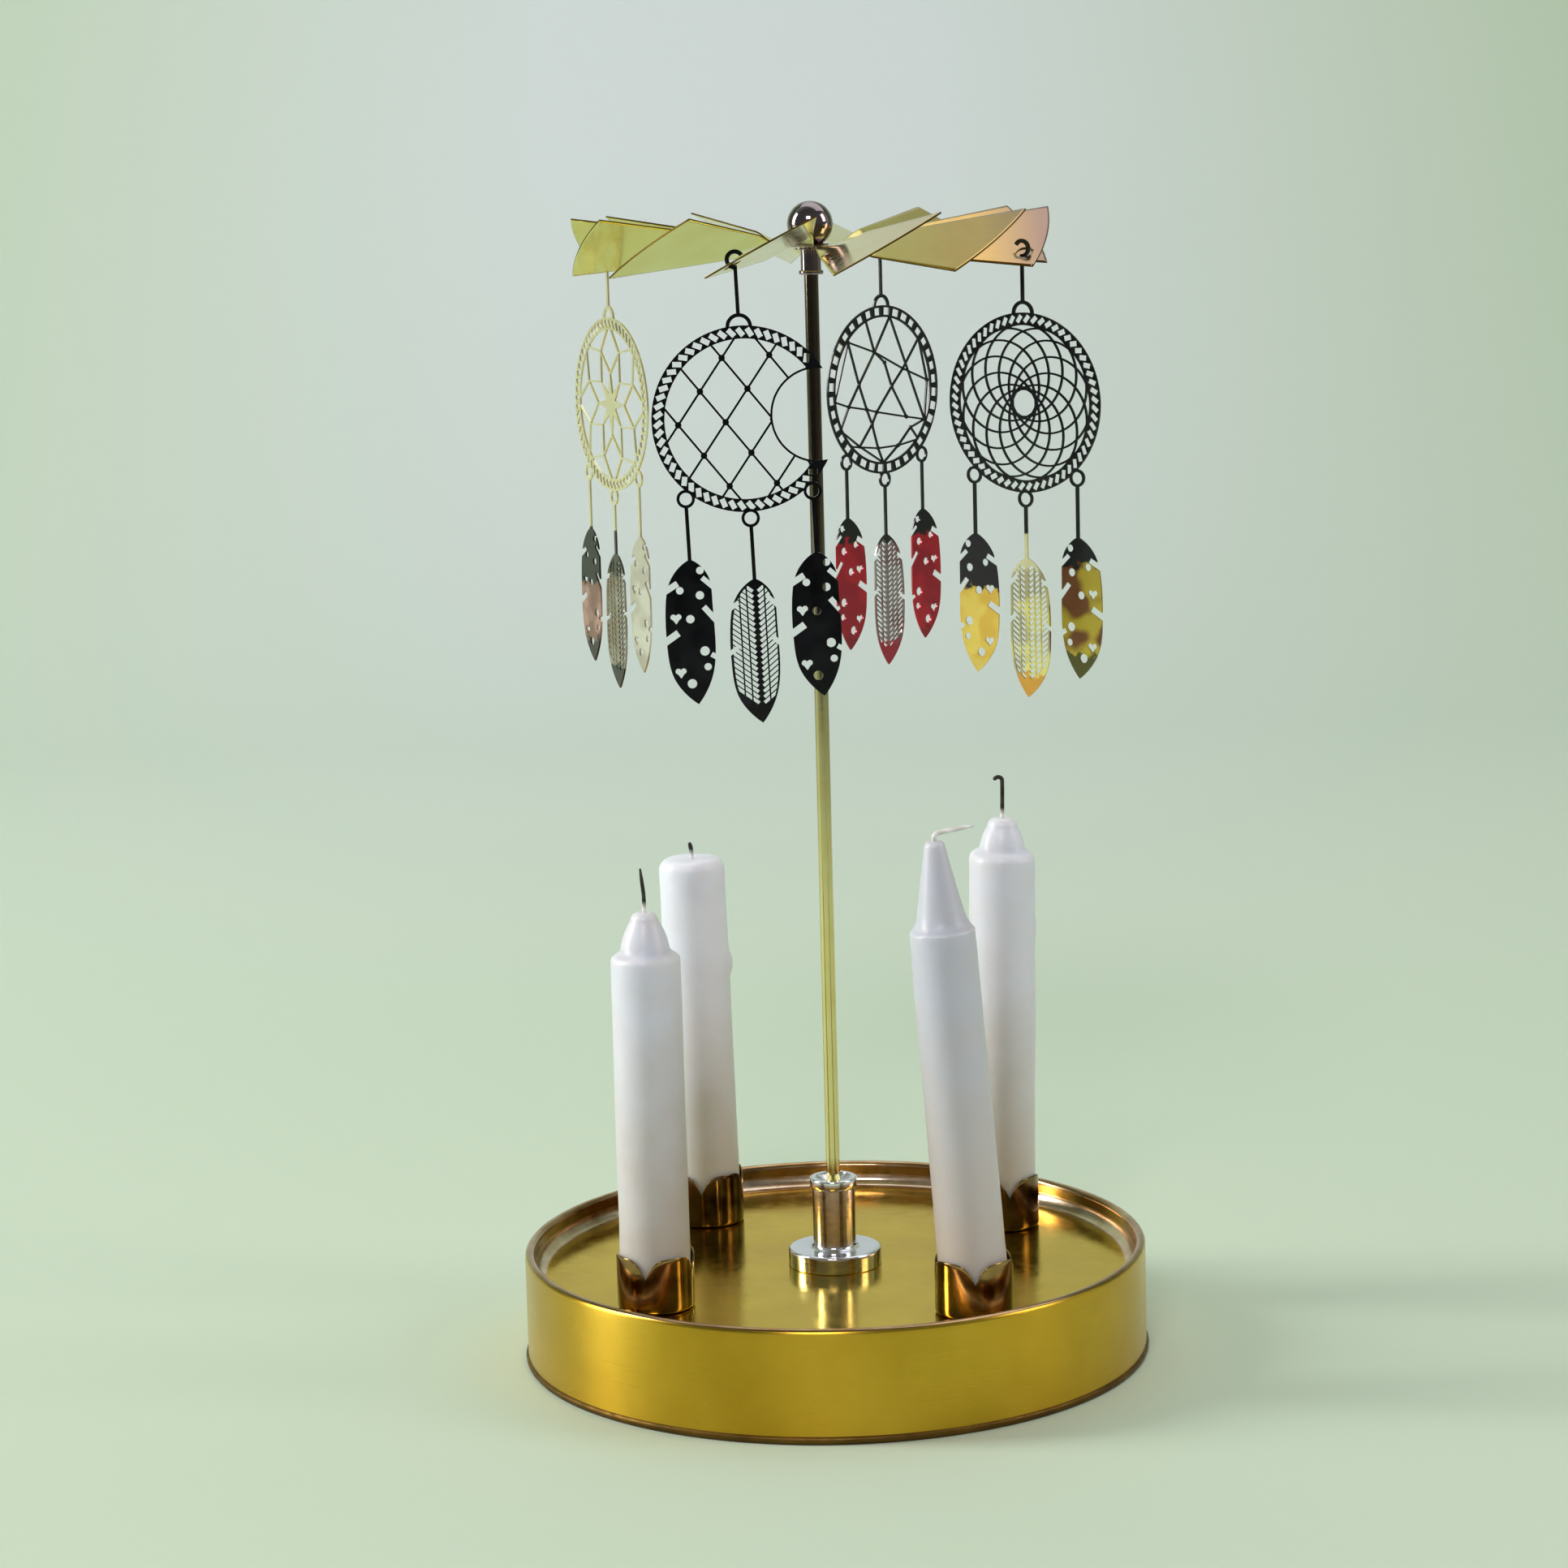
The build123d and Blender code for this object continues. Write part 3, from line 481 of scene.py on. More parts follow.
def cut_petals(bm):
    """Lower the top of the wall between the petals."""
    half = cup_height / 2
    start = floor_top + half
    for vert in bm.verts:
        height = vert.co.z / mm
        if height > start:
            across = min(abs(vert.co.x), abs(vert.co.y)) / mm
            share = min(across / petal_half_width, 1.0)
            drop = petal_depth * (1 - share) ** petal_roundness
            vert.co.z = (start + (height - start) * (half - drop) / half) * mm


print("cup middles, mm:", [[round(v, 1) for v in cup_centre(index).xy] for index in range(4)])

# %% [markdown]
# The sheet of a cup is less than half a millimetre thick. A single surface would do from outside,
# but its lip shows, so the profile runs up the outside, over the round lip and down the inside,
# and it ends at the rivet's hole in the floor.

# %% Candle cups, their profile
cup_outer = 8.2
cup_sheet = 0.4
cup_hole = 1.25
cup_flat = 4.0
cup_foot_round = 0.8
cup_inner_round = 0.5
cup_inner_low = 1.0

cup_inner = cup_outer - cup_sheet
cup_lip = cup_sheet / 2
cup_top = floor_top + cup_height
cup_profile = [(cup_hole, floor_top), (cup_flat, floor_top)]
cup_profile += arc((cup_outer - cup_foot_round, floor_top + cup_foot_round), cup_foot_round, -90, 0, 6)
wall_low, wall_high = floor_top + 2 * cup_foot_round, cup_top - cup_lip / 2
cup_profile += along((cup_outer, wall_low), (cup_outer, wall_high), 12)
cup_profile += arc((cup_outer - cup_lip, cup_top - cup_lip), cup_lip, 0, 180, 6)
cup_profile += along((cup_inner, cup_top - 3 * cup_lip), (cup_inner, floor_top + cup_inner_low), 8)
inner_corner = (cup_inner - cup_inner_round, floor_top + cup_sheet + cup_inner_round)
cup_profile += arc(inner_corner, cup_inner_round, 0, -90, 4)
cup_profile += [(cup_flat, floor_top + cup_sheet), (cup_hole, floor_top + cup_sheet)]
print("cup profile points", len(cup_profile))

# %% [markdown]
# The cups are patchy from brown to gold, and their dark brown is painted dark reflection of the dim
# room in front of them. The two at the back are painted darker still, as painted shade. One shader
# with two tints would do for all four, but two materials keep the difference in plain sight.

# %% Candle cups, their brass
# small sharp mirror images that fall apart into gold and a painted dark brown reflection
cup_brass = polished_metal("pressed cup brass", "B2925A", "5C4228", 0.13, 0.03, marks=(1, 1, 1), cloud=7)
# painted shade: the same, one shade nearer to black
shaded_cup_brass = polished_metal("smoked cup brass", "9C7E50", "3E2C20", 0.13, 0.03, marks=(1, 1, 1), cloud=7)

for index, name in enumerate(cup_names):
    cup = spun("cup_" + name, cup_profile, 160, True, 50, cut_petals)
    turn = Matrix.Rotation(radians(valley_turns[index]), 4, "Z")
    cup.data.transform(Matrix.Translation(cup_centre(index) * mm) @ turn)
    brass = shaded_cup_brass if name.startswith("back") else cup_brass
    place_piece(cup, "tray", "cup_brass", brass, "candle_cup_" + name)

# %% [markdown]
# The candles are alike, but each was burnt or trimmed in its own way and stands loose in its cup,
# leaning a little. Four hand-made meshes could show that, but here one function makes them all
# from the sizes of each. Heights are in millimetres from the table. A lean is in degrees, and a
# positive one is to the right.

# %% Candles, their sizes
candle_base = 19.8
candle_radius = 7.5
# the first of each candle's tints is painted shade and brass reflection low down, the second its wax above;
# the front right candle's wax is darker and bluer than the others
candles = {
    "front_left": {
        "shoulder": 94.4, "top": 103.0, "tip_radius": 2.9, "lean": 0.0, "bow_share": 0.66,
        "step_radius": 5.3, "foot_share": 1.0, "shoulder_share": 0.97, "shoulder_round": 1.7,
        "tints": ("C9C2BE", "DCDEEC"), "drip_height": 60, "drip_depth": 0,
    },
    "front_right": {
        "shoulder": 100.1, "top": 118.4, "tip_radius": 2.2, "lean": -4.0, "bow_share": 0.48,
        "step_radius": 5.6, "foot_share": 0.967, "shoulder_share": 0.905, "shoulder_round": 0.7,
        "tints": ("CBC2BE", "C8CCDC"), "drip_height": 60, "drip_depth": 0,
    },
    "back_right": {
        "shoulder": 104.0, "top": 111.3, "tip_radius": 3.3, "lean": 1.0, "bow_share": 0.72,
        "step_radius": 5.2, "foot_share": 1.0, "shoulder_share": 0.98, "shoulder_round": 2.1,
        "tints": ("D2D0CE", "E0E3F2"), "drip_height": 86, "drip_depth": 0.2,
    },
    "back_left": {
        "shoulder": 100.9, "top": 102.2, "tip_radius": 5.4, "lean": -1.0, "bow_share": 0.5,
        "step_radius": 5.7, "foot_share": 1.0, "shoulder_share": 0.98, "shoulder_round": 2.1,
        "tints": ("D2D0CE", "E5E8F8"), "drip_height": 78, "drip_depth": 0.75,
    },
}
candle_pivot = candle_base + cup_height / 2


def candle_move(index, lean):
    """Place of a candle in its cup, leaned about the middle of the cup."""
    seat = cup_centre(index) * mm
    pivot = Matrix.Translation((0, 0, candle_pivot * mm))
    return Matrix.Translation(seat) @ pivot @ Matrix.Rotation(radians(lean), 4, "Y") @ pivot.inverted()


print("candle tops, mm:", [sizes["top"] for sizes in candles.values()])

# %% [markdown]
# A candle is cast round its wick. A cylinder and a cone could make it, but its side goes over into
# the tip in a round shoulder, and the tip bows. So foot, side, shoulder and tip are one profile,
# with a small hollow round the wick. The candle that has burnt down has a flat top.

# %% Candles, their profile
bottom_flat = 4
bottom_edge = 0.4
tip_round_share = 0.55
slope_steps = 10
side_steps = 70
lowest_tip = 2
burnt_flat = (3.5, 1.8)
wick_pit = [(0.9, 0.0), (0.65, -0.15), (0.0, -0.4)]


def candle_profile(sizes):
    """Outline of one candle, from the middle of its foot to the pit round its wick."""
    shoulder, top = sizes["shoulder"], sizes["top"]
    tip_radius, step_radius = sizes["tip_radius"], sizes["step_radius"]
    edge = sizes["shoulder_round"]
    foot_radius = candle_radius * sizes["foot_share"]
    shoulder_radius = candle_radius * sizes["shoulder_share"]
    rise = top - shoulder
    side_start = (foot_radius, candle_base + bottom_edge)
    profile = [(0, candle_base), (bottom_flat, candle_base), (foot_radius - bottom_edge, candle_base)]
    if rise > lowest_tip:
        tip_round = min(tip_radius, rise) * tip_round_share
        bow_height = (step_radius - tip_radius) * (sizes["bow_share"] - 0.5)
        profile += along(side_start, (shoulder_radius, shoulder - edge), side_steps)
        profile += arc((shoulder_radius - edge, shoulder - edge), edge, 0, 70, 8)
        for step in range(1, slope_steps + 1):
            t = step / slope_steps
            bow = 4 * t * (1 - t) * bow_height
            radius = step_radius + (tip_radius - step_radius) * t + bow
            profile.append((radius, shoulder + (rise - tip_round) * t))
        profile += arc((tip_radius - tip_round, top - tip_round), tip_round, 10, 90, 7)
    else:
        profile += along(side_start, (shoulder_radius, top - edge), side_steps)
        profile += arc((shoulder_radius - edge, top - edge), edge, 0, 84, 10)
        profile += [(radius, top) for radius in burnt_flat]
    return profile + [(radius, top + height) for radius, height in wick_pit]


candle_profiles = {name: candle_profile(sizes) for name, sizes in candles.items()}
print("candle profile points:", [len(profile) for profile in candle_profiles.values()])

# %% [markdown]
# Cast wax is never quite even, and two of the candles have a drip. Sculpting could show that, but
# moving the skin by a noise, in and out by a tenth of a millimetre and a little more near the tip,
# gives it without handwork. What stands in the cup stays as it is.

# %% Candles, their uneven skin
def uneven_wax(seed, sizes):
    """Changer that moves the wax in and out and adds one drip, in millimetres."""
    coarse_size, coarse_depth = 16, 0.12
    fine_size, fine_depth, fine_tip_depth = 4, 0.03, 0.12
    tip_reach, tip_sag, most_out, drip_size = 6, 0.25, 0.16, 3
    still_radius, still_height = 0.2, 2
    lowest = (cup_top + still_height) * mm
    drip_place = Vector((candle_radius, 0, sizes["drip_height"])) * mm

    def change(bm):
        for vert in bm.verts:
            radial = Vector((vert.co.x, vert.co.y, 0))
            if radial.length < still_radius * mm or vert.co.z < lowest:
                continue
            coarse = noise.noise(vert.co * per_mm(coarse_size) + Vector((seed * 7, 0, 0)))
            fine = noise.noise(vert.co * per_mm(fine_size) + Vector((0, seed * 5, 0)))
            near_tip = max(0.0, 1 - abs(vert.co.z / mm - sizes["shoulder"]) / tip_reach)
            shift = coarse_depth * coarse + (fine_depth + fine_tip_depth * near_tip) * fine
            vert.co += radial.normalized() * min(shift, most_out) * mm
            vert.co.z += tip_sag * near_tip * fine * mm
            drip = (vert.co - drip_place).length / mm
            vert.co.x += sizes["drip_depth"] * max(0.0, 1 - (drip / drip_size) ** 2) * mm
    return change


print("drips, mm deep:", [sizes["drip_depth"] for sizes in candles.values()])

# %% [markdown]
# The wax is paraffin. Light goes a few millimetres into it and comes out again, which softens its
# shading and its shadows. A plain white shader would look like plaster, so this one scatters the
# light under the surface. The wax is cool near the tip, and lower down, towards the cup, it is
# painted warmer and greyer, as painted shade and painted reflection of the brass round it.

# %% Candles, their wax
low_wax, high_wax = 0.025, 0.085
cloud_size, cloud_share = 8, 0.25
hand_size, hand_depth = 2.5, 0.05


def cast_wax(name, shaded_low_tint, tint):
    """Cast paraffin: soft shading, a faint gloss and a skin like that of an eggshell."""
    material, tree, shader, place = new_material(
        name, Roughness=0.42, Coat_Weight=0.15, Coat_Roughness=0.25,
        Subsurface_Weight=1.0, Subsurface_Scale=0.004, Subsurface_Radius=(1.0, 0.8, 0.75)
    )
    height = add(tree, "SeparateXYZ", {"Vector": place}).outputs["Z"]
    height_share = add(tree, "MapRange", {"Value": height, "From Min": low_wax, "From Max": high_wax})
    clouds = wander(tree, grain(tree, place, cloud_size), 0, cloud_share)
    shares = {0: height_share.outputs["Result"], 1: clouds}
    share = add(tree, "Math", shares, operation="SUBTRACT", use_clamp=True).outputs[0]
    tone = add(tree, "Mix", {"Factor": share, 6: colour(shaded_low_tint), 7: colour(tint)}, data_type="RGBA")
    tree.links.new(tone.outputs[2], shader.inputs["Base Color"])
    shallow_waves(tree, shader, place, hand_size, 4, hand_depth)
    return material


for index, name in enumerate(cup_names):
    sizes = candles[name]
    candle = spun("candle_" + name, candle_profiles[name], 112, False, 60, uneven_wax(index + 1, sizes))
    candle.data.transform(candle_move(index, sizes["lean"]))
    wax = cast_wax("paraffin wax " + name, *sizes["tints"])
    place_piece(candle, "candle_" + name, "wax", wax, "candle_" + name)

# %% [markdown]
# A wick is a round cord of braided cotton. Three have burnt black, and each stands or curls in its
# own way. One was never lit, so it is still white with wax, and it was bent flat by hand. Its
# middle line could be drawn point by point, but a straight stretch, a bend and a straight tail
# say the same in four numbers.

# %% Wicks, their middle lines
wicks = {
    "front_left": {
        "straight": 3.0, "bend_radius": 14.0, "bend_turn": 6.0, "tail": 4.8,
        "radius": 0.42, "burnt_from": 104.6,
    },
    "front_right": {
        "straight": 0.6, "bend_radius": 1.2, "bend_turn": -84.0, "tail": 7.2,
        "radius": 0.52, "burnt_from": 200.0,
    },
    "back_right": {
        "straight": 8.4, "bend_radius": 0.9, "bend_turn": 128.0, "tail": 0.5,
        "radius": 0.46, "burnt_from": 112.8,
    },
    "back_left": {
        "straight": 1.6, "bend_radius": 6.0, "bend_turn": 10.0, "tail": 1.0,
        "radius": 0.5, "burnt_from": 103.6,
    },
}
wick_root = 3.0
turn_steps = 6
tail_steps = 4


def wick_line(sizes, top):
    """Middle line of a wick, from inside the wax to its tip."""
    points = [(0.0, 0, top - wick_root), (0.0, 0, top), (0.0, 0, top + sizes["straight"])]
    x, z, heading = 0.0, top + sizes["straight"], 90.0
    stride = sizes["bend_radius"] * radians(abs(sizes["bend_turn"])) / turn_steps
    for step in range(turn_steps):
        heading += sizes["bend_turn"] / turn_steps
        x += stride * cos(radians(heading))
        z += stride * sin(radians(heading))
        points.append((x, 0, z))
    for step in range(1, tail_steps + 1):
        reach = sizes["tail"] * step / tail_steps
        points.append((x + reach * cos(radians(heading)), 0, z + reach * sin(radians(heading))))
    return points


wick_lines = {name: wick_line(sizes, candles[name]["top"]) for name, sizes in wicks.items()}
print("wick points:", [len(line) for line in wick_lines.values()])

# %% [markdown]
# A bent cylinder could be the cord, but a curve with thickness follows any bend and can thin out
# at the frayed end. It is turned into a mesh at once, so that the wick can lean with its candle.

# %% Wicks, from line to cord
tip_fray = (1.0, 1.0, 0.96, 0.9, 0.75, 0.5)


def cord(name, points, radii):
    """Round cord along smooth points, in millimetres."""
    curve = bpy.data.curves.new(name, "CURVE")
    curve.dimensions = "3D"
    curve.bevel_depth = mm
    curve.bevel_resolution = 5
    curve.use_fill_caps = True
    spline = curve.splines.new("NURBS")
    spline.points.add(len(points) - 1)
    for point, (x, y, z), radius in zip(spline.points, points, radii):
        point.co = (x * mm, y * mm, z * mm, 1)
        point.radius = radius
    spline.order_u = 3
    spline.use_endpoint_u = True
    spline.resolution_u = 6
    maker = bpy.data.objects.new(name, curve)
    mesh = bpy.data.meshes.new_from_object(maker)
    bpy.data.objects.remove(maker)
    mesh.shade_smooth()
    obj = bpy.data.objects.new(name, mesh)
    bpy.context.scene.collection.objects.link(obj)
    return obj


print("a wick's frayed end has", tip_fray[-1], "of its radius")

# %% [markdown]
# The strands of the braid are a fraction of a millimetre wide, too fine for the render. Modelled
# strands would be lost in it as well, so slanting bands a few millimetres apart stand for them.
# They shade the cotton and raise it. Above a certain height the white of the waxed cotton goes
# over into charcoal within a millimetre or two.

# %% Wicks, their cotton
braid_size = 6
braid_depth = 0.12
char_edge = 0.8


def cotton(name, burnt_from):
    """Braided cotton: matt all over, white with wax at its root and burnt black further up."""
    material, tree, shader, place = new_material(name, Roughness=0.7)
    waves = {"Vector": place, "Scale": per_mm(braid_size), "Distortion": 4.0}
    strand = add(tree, "TexWave", waves, bands_direction="DIAGONAL").outputs["Fac"]
    waxed = add(tree, "Mix", {"Factor": strand, 6: colour("DAD6D6"), 7: colour("F4F0F4")}, data_type="RGBA")
    burnt = add(tree, "Mix", {"Factor": strand, 6: colour("12110F"), 7: colour("34312A")}, data_type="RGBA")
    height = add(tree, "SeparateXYZ", {"Vector": place}).outputs["Z"]
    start, end = (burnt_from - char_edge) * mm, (burnt_from + char_edge) * mm
    tone = change_tone(tree, height, start, end, waxed.outputs[2], burnt.outputs[2])
    tree.links.new(tone, shader.inputs["Base Color"])
    bump = add(tree, "Bump", {"Height": strand, "Distance": braid_depth * mm, "Strength": 1.0})
    tree.links.new(bump.outputs["Normal"], shader.inputs["Normal"])
    return material


for index, name in enumerate(cup_names):
    sizes = wicks[name]
    line = wick_lines[name]
    shares = [1.0] * (len(line) - len(tip_fray)) + list(tip_fray)
    wick = cord("wick_" + name, line, [sizes["radius"] * share for share in shares])
    wick.data.transform(candle_move(index, candles[name]["lean"]))
    slot = "wick_waxed" if name == "front_right" else "wick_cotton"
    coat = cotton("wick cotton " + name, sizes["burnt_from"])
    place_piece(wick, "candle_" + name, slot, coat, "wick_" + name)

# %% [markdown]
# The socket is turned from bar and plated with bright nickel. It carries the rod in a deep bore,
# and its stud goes through the tray to a nut. Flange, tube and collar could be three cylinders,
# but the real one is a single turned piece with a fillet at the tube's foot, so it is one profile.

# %% Socket
flange_top = floor_top + 3.9
flange_radius = 10.1
flange_round = 0.6
flange_flat = 9.0
stud_bottom = floor_top - 6.4
stud_radius = 3.0
stud_edge = 0.3
foot_edge = 0.2
tube_radius = 4.65
tube_fillet = 1.0
collar_radius = 5.15
socket_top = 38.0
collar_low = socket_top - 1.8
collar_lead = 0.5
collar_low_round = 0.3
collar_top_round = 0.4
mouth = [(3.9, 0), (3.5, -0.5), (1.6, -2.0)]
bore_radius = 1.6
bore_bottom = floor_top + 2.0

profile = [(0, stud_bottom), (stud_radius - stud_edge, stud_bottom), (stud_radius, stud_bottom + stud_edge)]
profile += [(stud_radius, floor_top), (flange_radius - foot_edge, floor_top)]
profile += [(flange_radius, floor_top + foot_edge), (flange_radius, flange_top - 1.5 * flange_round)]
profile += arc((flange_radius - flange_round, flange_top - flange_round), flange_round, 10, 80, 6)
profile += [(flange_flat, flange_top), (tube_radius + 1.4 * tube_fillet, flange_top)]
profile += arc((tube_radius + tube_fillet, flange_top + tube_fillet), tube_fillet, 270, 180, 7)
profile += [(tube_radius, collar_low - collar_lead)]
profile += arc((collar_radius - collar_low_round, collar_low), collar_low_round, -60, 0, 4)
profile += arc((collar_radius - collar_top_round, socket_top - collar_top_round), collar_top_round, 0, 90, 5)
profile += [(radius, socket_top + height) for radius, height in mouth]
profile += [(bore_radius, bore_bottom), (0, bore_bottom)]
socket = spun("socket", profile, 128, False)
# white highlights, and the yellow of the tray mirrored in them
nickel = polished_metal("bright nickel", "EAEAF0", "D2D2DA", 0.15, 0.01)
place_piece(socket, "tray", "nickel", nickel, "socket")

# %% [markdown]
# The rod is drawn brass, polished until it is a mirror. Above the flames it is painted dark, a
# painted reflection of the dark room that its upper part mirrors. A second material for its upper
# half would leave an edge, and the darkening has no edge, so the tint goes over into a grey brown
# with height.

# %% Rod
rod_radius = 1.5
rod_length = 215.4
rod_base = 20.7
rod_edge = 0.3
rod_end = 1
needle_bore = 0.63
needle_depth = 6
dark_reflection_start, dark_reflection_end = 0.09, 0.165

rod_top = rod_base + rod_length
profile = [(0, rod_base), (rod_radius - rod_edge, rod_base), (rod_radius, rod_base + rod_edge)]
profile += along((rod_radius, rod_base + rod_end), (rod_radius, rod_top - rod_end), 12)
profile += [(rod_radius, rod_top - rod_edge), (rod_radius - rod_edge, rod_top), (needle_bore, rod_top)]
profile += [(needle_bore, rod_top - needle_depth), (0, rod_top - needle_depth)]
rod = spun("rod", profile, 64, False)
# a bright line down each side of a yellow middle, and a painted dark reflection over both further up
rod_brass = polished_metal("drawn rod brass", "EADFA0", "DCCB80", 0.1, 0.004)
tree = rod_brass.node_tree
shader = tree.nodes["Principled BSDF"]
clean = shader.inputs["Base Color"].links[0].from_socket
height = add(tree, "SeparateXYZ", {"Vector": add(tree, "TexCoord").outputs["Object"]}).outputs["Z"]
painted_dark = change_tone(tree, height, dark_reflection_start, dark_reflection_end, clean, colour("6C6256"))
tree.links.new(painted_dark, shader.inputs["Base Color"])
place_piece(rod, "post", "rod_brass", rod_brass, "rod")

# %% [markdown]
# The ball hides the bearing. It is turned with its collar in one piece, hollow inside, and plated
# like the socket, but it is painted darker, a painted reflection of the dim room in front of it.
# A ready-made sphere has poles of thin triangles and no hollow, so the ball is spun from a profile
# as well.

# %% Ball
fan_top = 238.875
fan_bottom = 238.525
collar_height = 1.7
collar_reach = 4.0
collar_edge = 0.2
ball_radius = 4.8
ball_start = -56.44
hollow_radius = 2.25
hollow_top = 244.58

ball_centre = fan_top + collar_height + sqrt(ball_radius**2 - collar_reach**2)
profile = [(hollow_radius, fan_top), (collar_reach - collar_edge, fan_top)]
profile += [(collar_reach, fan_top + collar_edge)]
profile += arc((0, ball_centre), ball_radius, ball_start, 90, 40)
profile[-1] = (0, ball_centre + ball_radius)
profile += [(0, hollow_top), (hollow_radius, hollow_top)]
ball = spun("finial_ball", profile, 96)
# painted dark reflection: a dark mirror with a faint violet cast, and the lights small and sharp in it
dark_reflection_nickel = polished_metal("smoked nickel", "A8989C", "7C6E74", 0.09, 0.01)
place_piece(ball, "rotor", "nickel", dark_reflection_nickel, "finial_ball")

# %% [markdown]
# The sleeve passes up through the fan into the ball, and its flange presses the fan against it. A
# bright ring ends it below. The ring could be a torus of its own, but on a turned sleeve it is
# part of the same metal, so it is a stretch of the profile.

# %% Sleeve
sleeve_bore = 1.75
sleeve_rim = 2.2
sleeve_radius = 2.15
sleeve_bottom = fan_bottom - 5.8
sleeve_top = fan_top + 1.9
ring_height = 0.9
ring_round = 0.3
ring_middle = 2.3
sleeve_flange = 3.4
sleeve_flange_edge = 0.15
sleeve_flange_height = 0.6

ring_top = sleeve_bottom + ring_height
flange_low = fan_bottom - sleeve_flange_height
profile = [(sleeve_bore, sleeve_bottom), (sleeve_rim, sleeve_bottom)]
profile += arc((ring_middle, sleeve_bottom + ring_round), ring_round, -80, 0, 4)
profile += arc((ring_middle, ring_top - ring_round), ring_round, 0, 80, 4)
profile += [(sleeve_radius, ring_top), (sleeve_radius, flange_low)]
profile += [(sleeve_flange - sleeve_flange_edge, flange_low)]
profile += [(sleeve_flange, flange_low + sleeve_flange_edge)]
profile += [(sleeve_flange, fan_bottom), (sleeve_radius, fan_bottom)]
profile += [(sleeve_radius, sleeve_top), (sleeve_bore, sleeve_top)]
sleeve = spun("hub_sleeve", profile, 64)
# the sleeve shares the ball's nickel with its painted dark reflection
place_piece(sleeve, "rotor", "nickel", dark_reflection_nickel, "hub_sleeve")

# %% [markdown]
# The fan is one disc of very thin brass. Slits divide it into twelve vanes, and each vane is
# twisted near the hub, so rising air pushes all of them the same way. Simple Deform could twist a
# flat vane, but the slit, the twist and the round tip have to agree, so a grid is laid on one
# formula instead.

# %% Fan, one vane
fan_height = 238.7
fan_radius = 50.0
fan_sheet = 0.35
hub_radius = 11.0
hub_hole = 2.2
twist_end = 22.0
tip_rise = 1.0
slit_half = 0.2
slit_taper = 20
full_twist = radians(27.0)
vane_count = 12
vane_turn = 360 / vane_count
vane_tan = tan(radians(vane_turn / 2))
hub_rows = 8
vane_rows = 80
vane_columns = 32


def vane_point(row, column):
    """Point of one vane that lies along X, in millimetres, with the hub at height zero."""
    across = column * 2 - 1
    if row <= hub_rows:
        x = hub_hole + (hub_radius - hub_hole) * row / hub_rows
        return Vector((x, across * x * vane_tan, 0))
    edge = fan_radius * cos(atan(across * vane_tan * cos(full_twist)))
    x = hub_radius + (edge - hub_radius) * (row - hub_rows) / vane_rows
    share = min((x - hub_radius) / (twist_end - hub_radius), 1.0)
    twist = full_twist * share * share * (3 - 2 * share)
    slit = slit_half * min(share * slit_taper, 1.0)
    reach = across * (x * vane_tan - slit)
    rise = tip_rise * (x - hub_radius) / (fan_radius - hub_radius)
    return Vector((x, reach * cos(twist), rise + reach * sin(twist)))


bm = bmesh.new()
rows = hub_rows + vane_rows
bmesh.ops.create_grid(bm, x_segments=rows, y_segments=vane_columns, size=0.5)
for vert in bm.verts:
    vert.co = vane_point(round((vert.co.x + 0.5) * rows), vert.co.y + 0.5) * mm
print("one vane, faces", len(bm.faces))

# %% [markdown]
# All vanes are alike. An Array modifier could repeat them, but the hook holes come next and need
# the real faces, so the vane is copied round the middle and the copies are merged at the hub.

# %% Fan, the disc
pattern = bm.verts[:] + bm.edges[:] + bm.faces[:]
for index in range(1, vane_count):
    copied = bmesh.ops.duplicate(bm, geom=pattern)["geom"]
    copied_verts = [part for part in copied if isinstance(part, bmesh.types.BMVert)]
    turn = Matrix.Rotation(radians(vane_turn * index), 3, "Z")
    bmesh.ops.rotate(bm, cent=(0, 0, 0), matrix=turn, verts=copied_verts)
bmesh.ops.remove_doubles(bm, verts=bm.verts, dist=0.01 * mm)
print("twelve vanes, faces", len(bm.faces))

# %% [markdown]
# Every third vane has a round hole for the hook of a pendant. A boolean could drill it, but thin
# open sheet is hard for that tool, so the faces inside the circle are deleted and their border is
# drawn onto it.

# %% Fan, the hook holes
hooked_vanes = (0, 3, 6, 9)
corner_degrees = vane_turn / 2 * cos(full_twist)
hole_reach = 46.5
hole_from_corner = 5.5
hole_azimuth = radians(hole_from_corner - corner_degrees)
hole_x = hole_reach * cos(hole_azimuth)
hole_y = hole_reach * sin(hole_azimuth)
hole_radius = 1.7
hole_border = 0.8


def hole_offset(point, index):
    """Plan distance of a point from the hook hole of a vane, in millimetres."""
    local = Matrix.Rotation(radians(-vane_turn * index), 3, "Z") @ point / mm
    return Vector((local.x - hole_x, local.y - hole_y))


for index in hooked_vanes:
    inside = [f for f in bm.faces if hole_offset(f.calc_center_median(), index).length < hole_radius]
    bmesh.ops.delete(bm, geom=inside, context="FACES")
    turn = Matrix.Rotation(radians(vane_turn * index), 3, "Z")
    for vert in bm.verts:
        offset = hole_offset(vert.co, index)
        if vert.is_boundary and offset.length < hole_radius + hole_border:
            offset = offset.normalized() * hole_radius
            x, y = hole_x + offset.x, hole_y + offset.y
            rise = tip_rise * (x - hub_radius) / (fan_radius - hub_radius) + y * tan(full_twist)
            vert.co = turn @ Vector((x, y, rise)) * mm
print("hook holes", len(hooked_vanes), "faces left", len(bm.faces))

# %% [markdown]
# The disc is turned to its place, and it still needs its thickness of a third of a millimetre. It
# could be extruded, but the Solidify modifier keeps the thickness even on twisted vanes, and it
# gives the cut edge a material of its own.

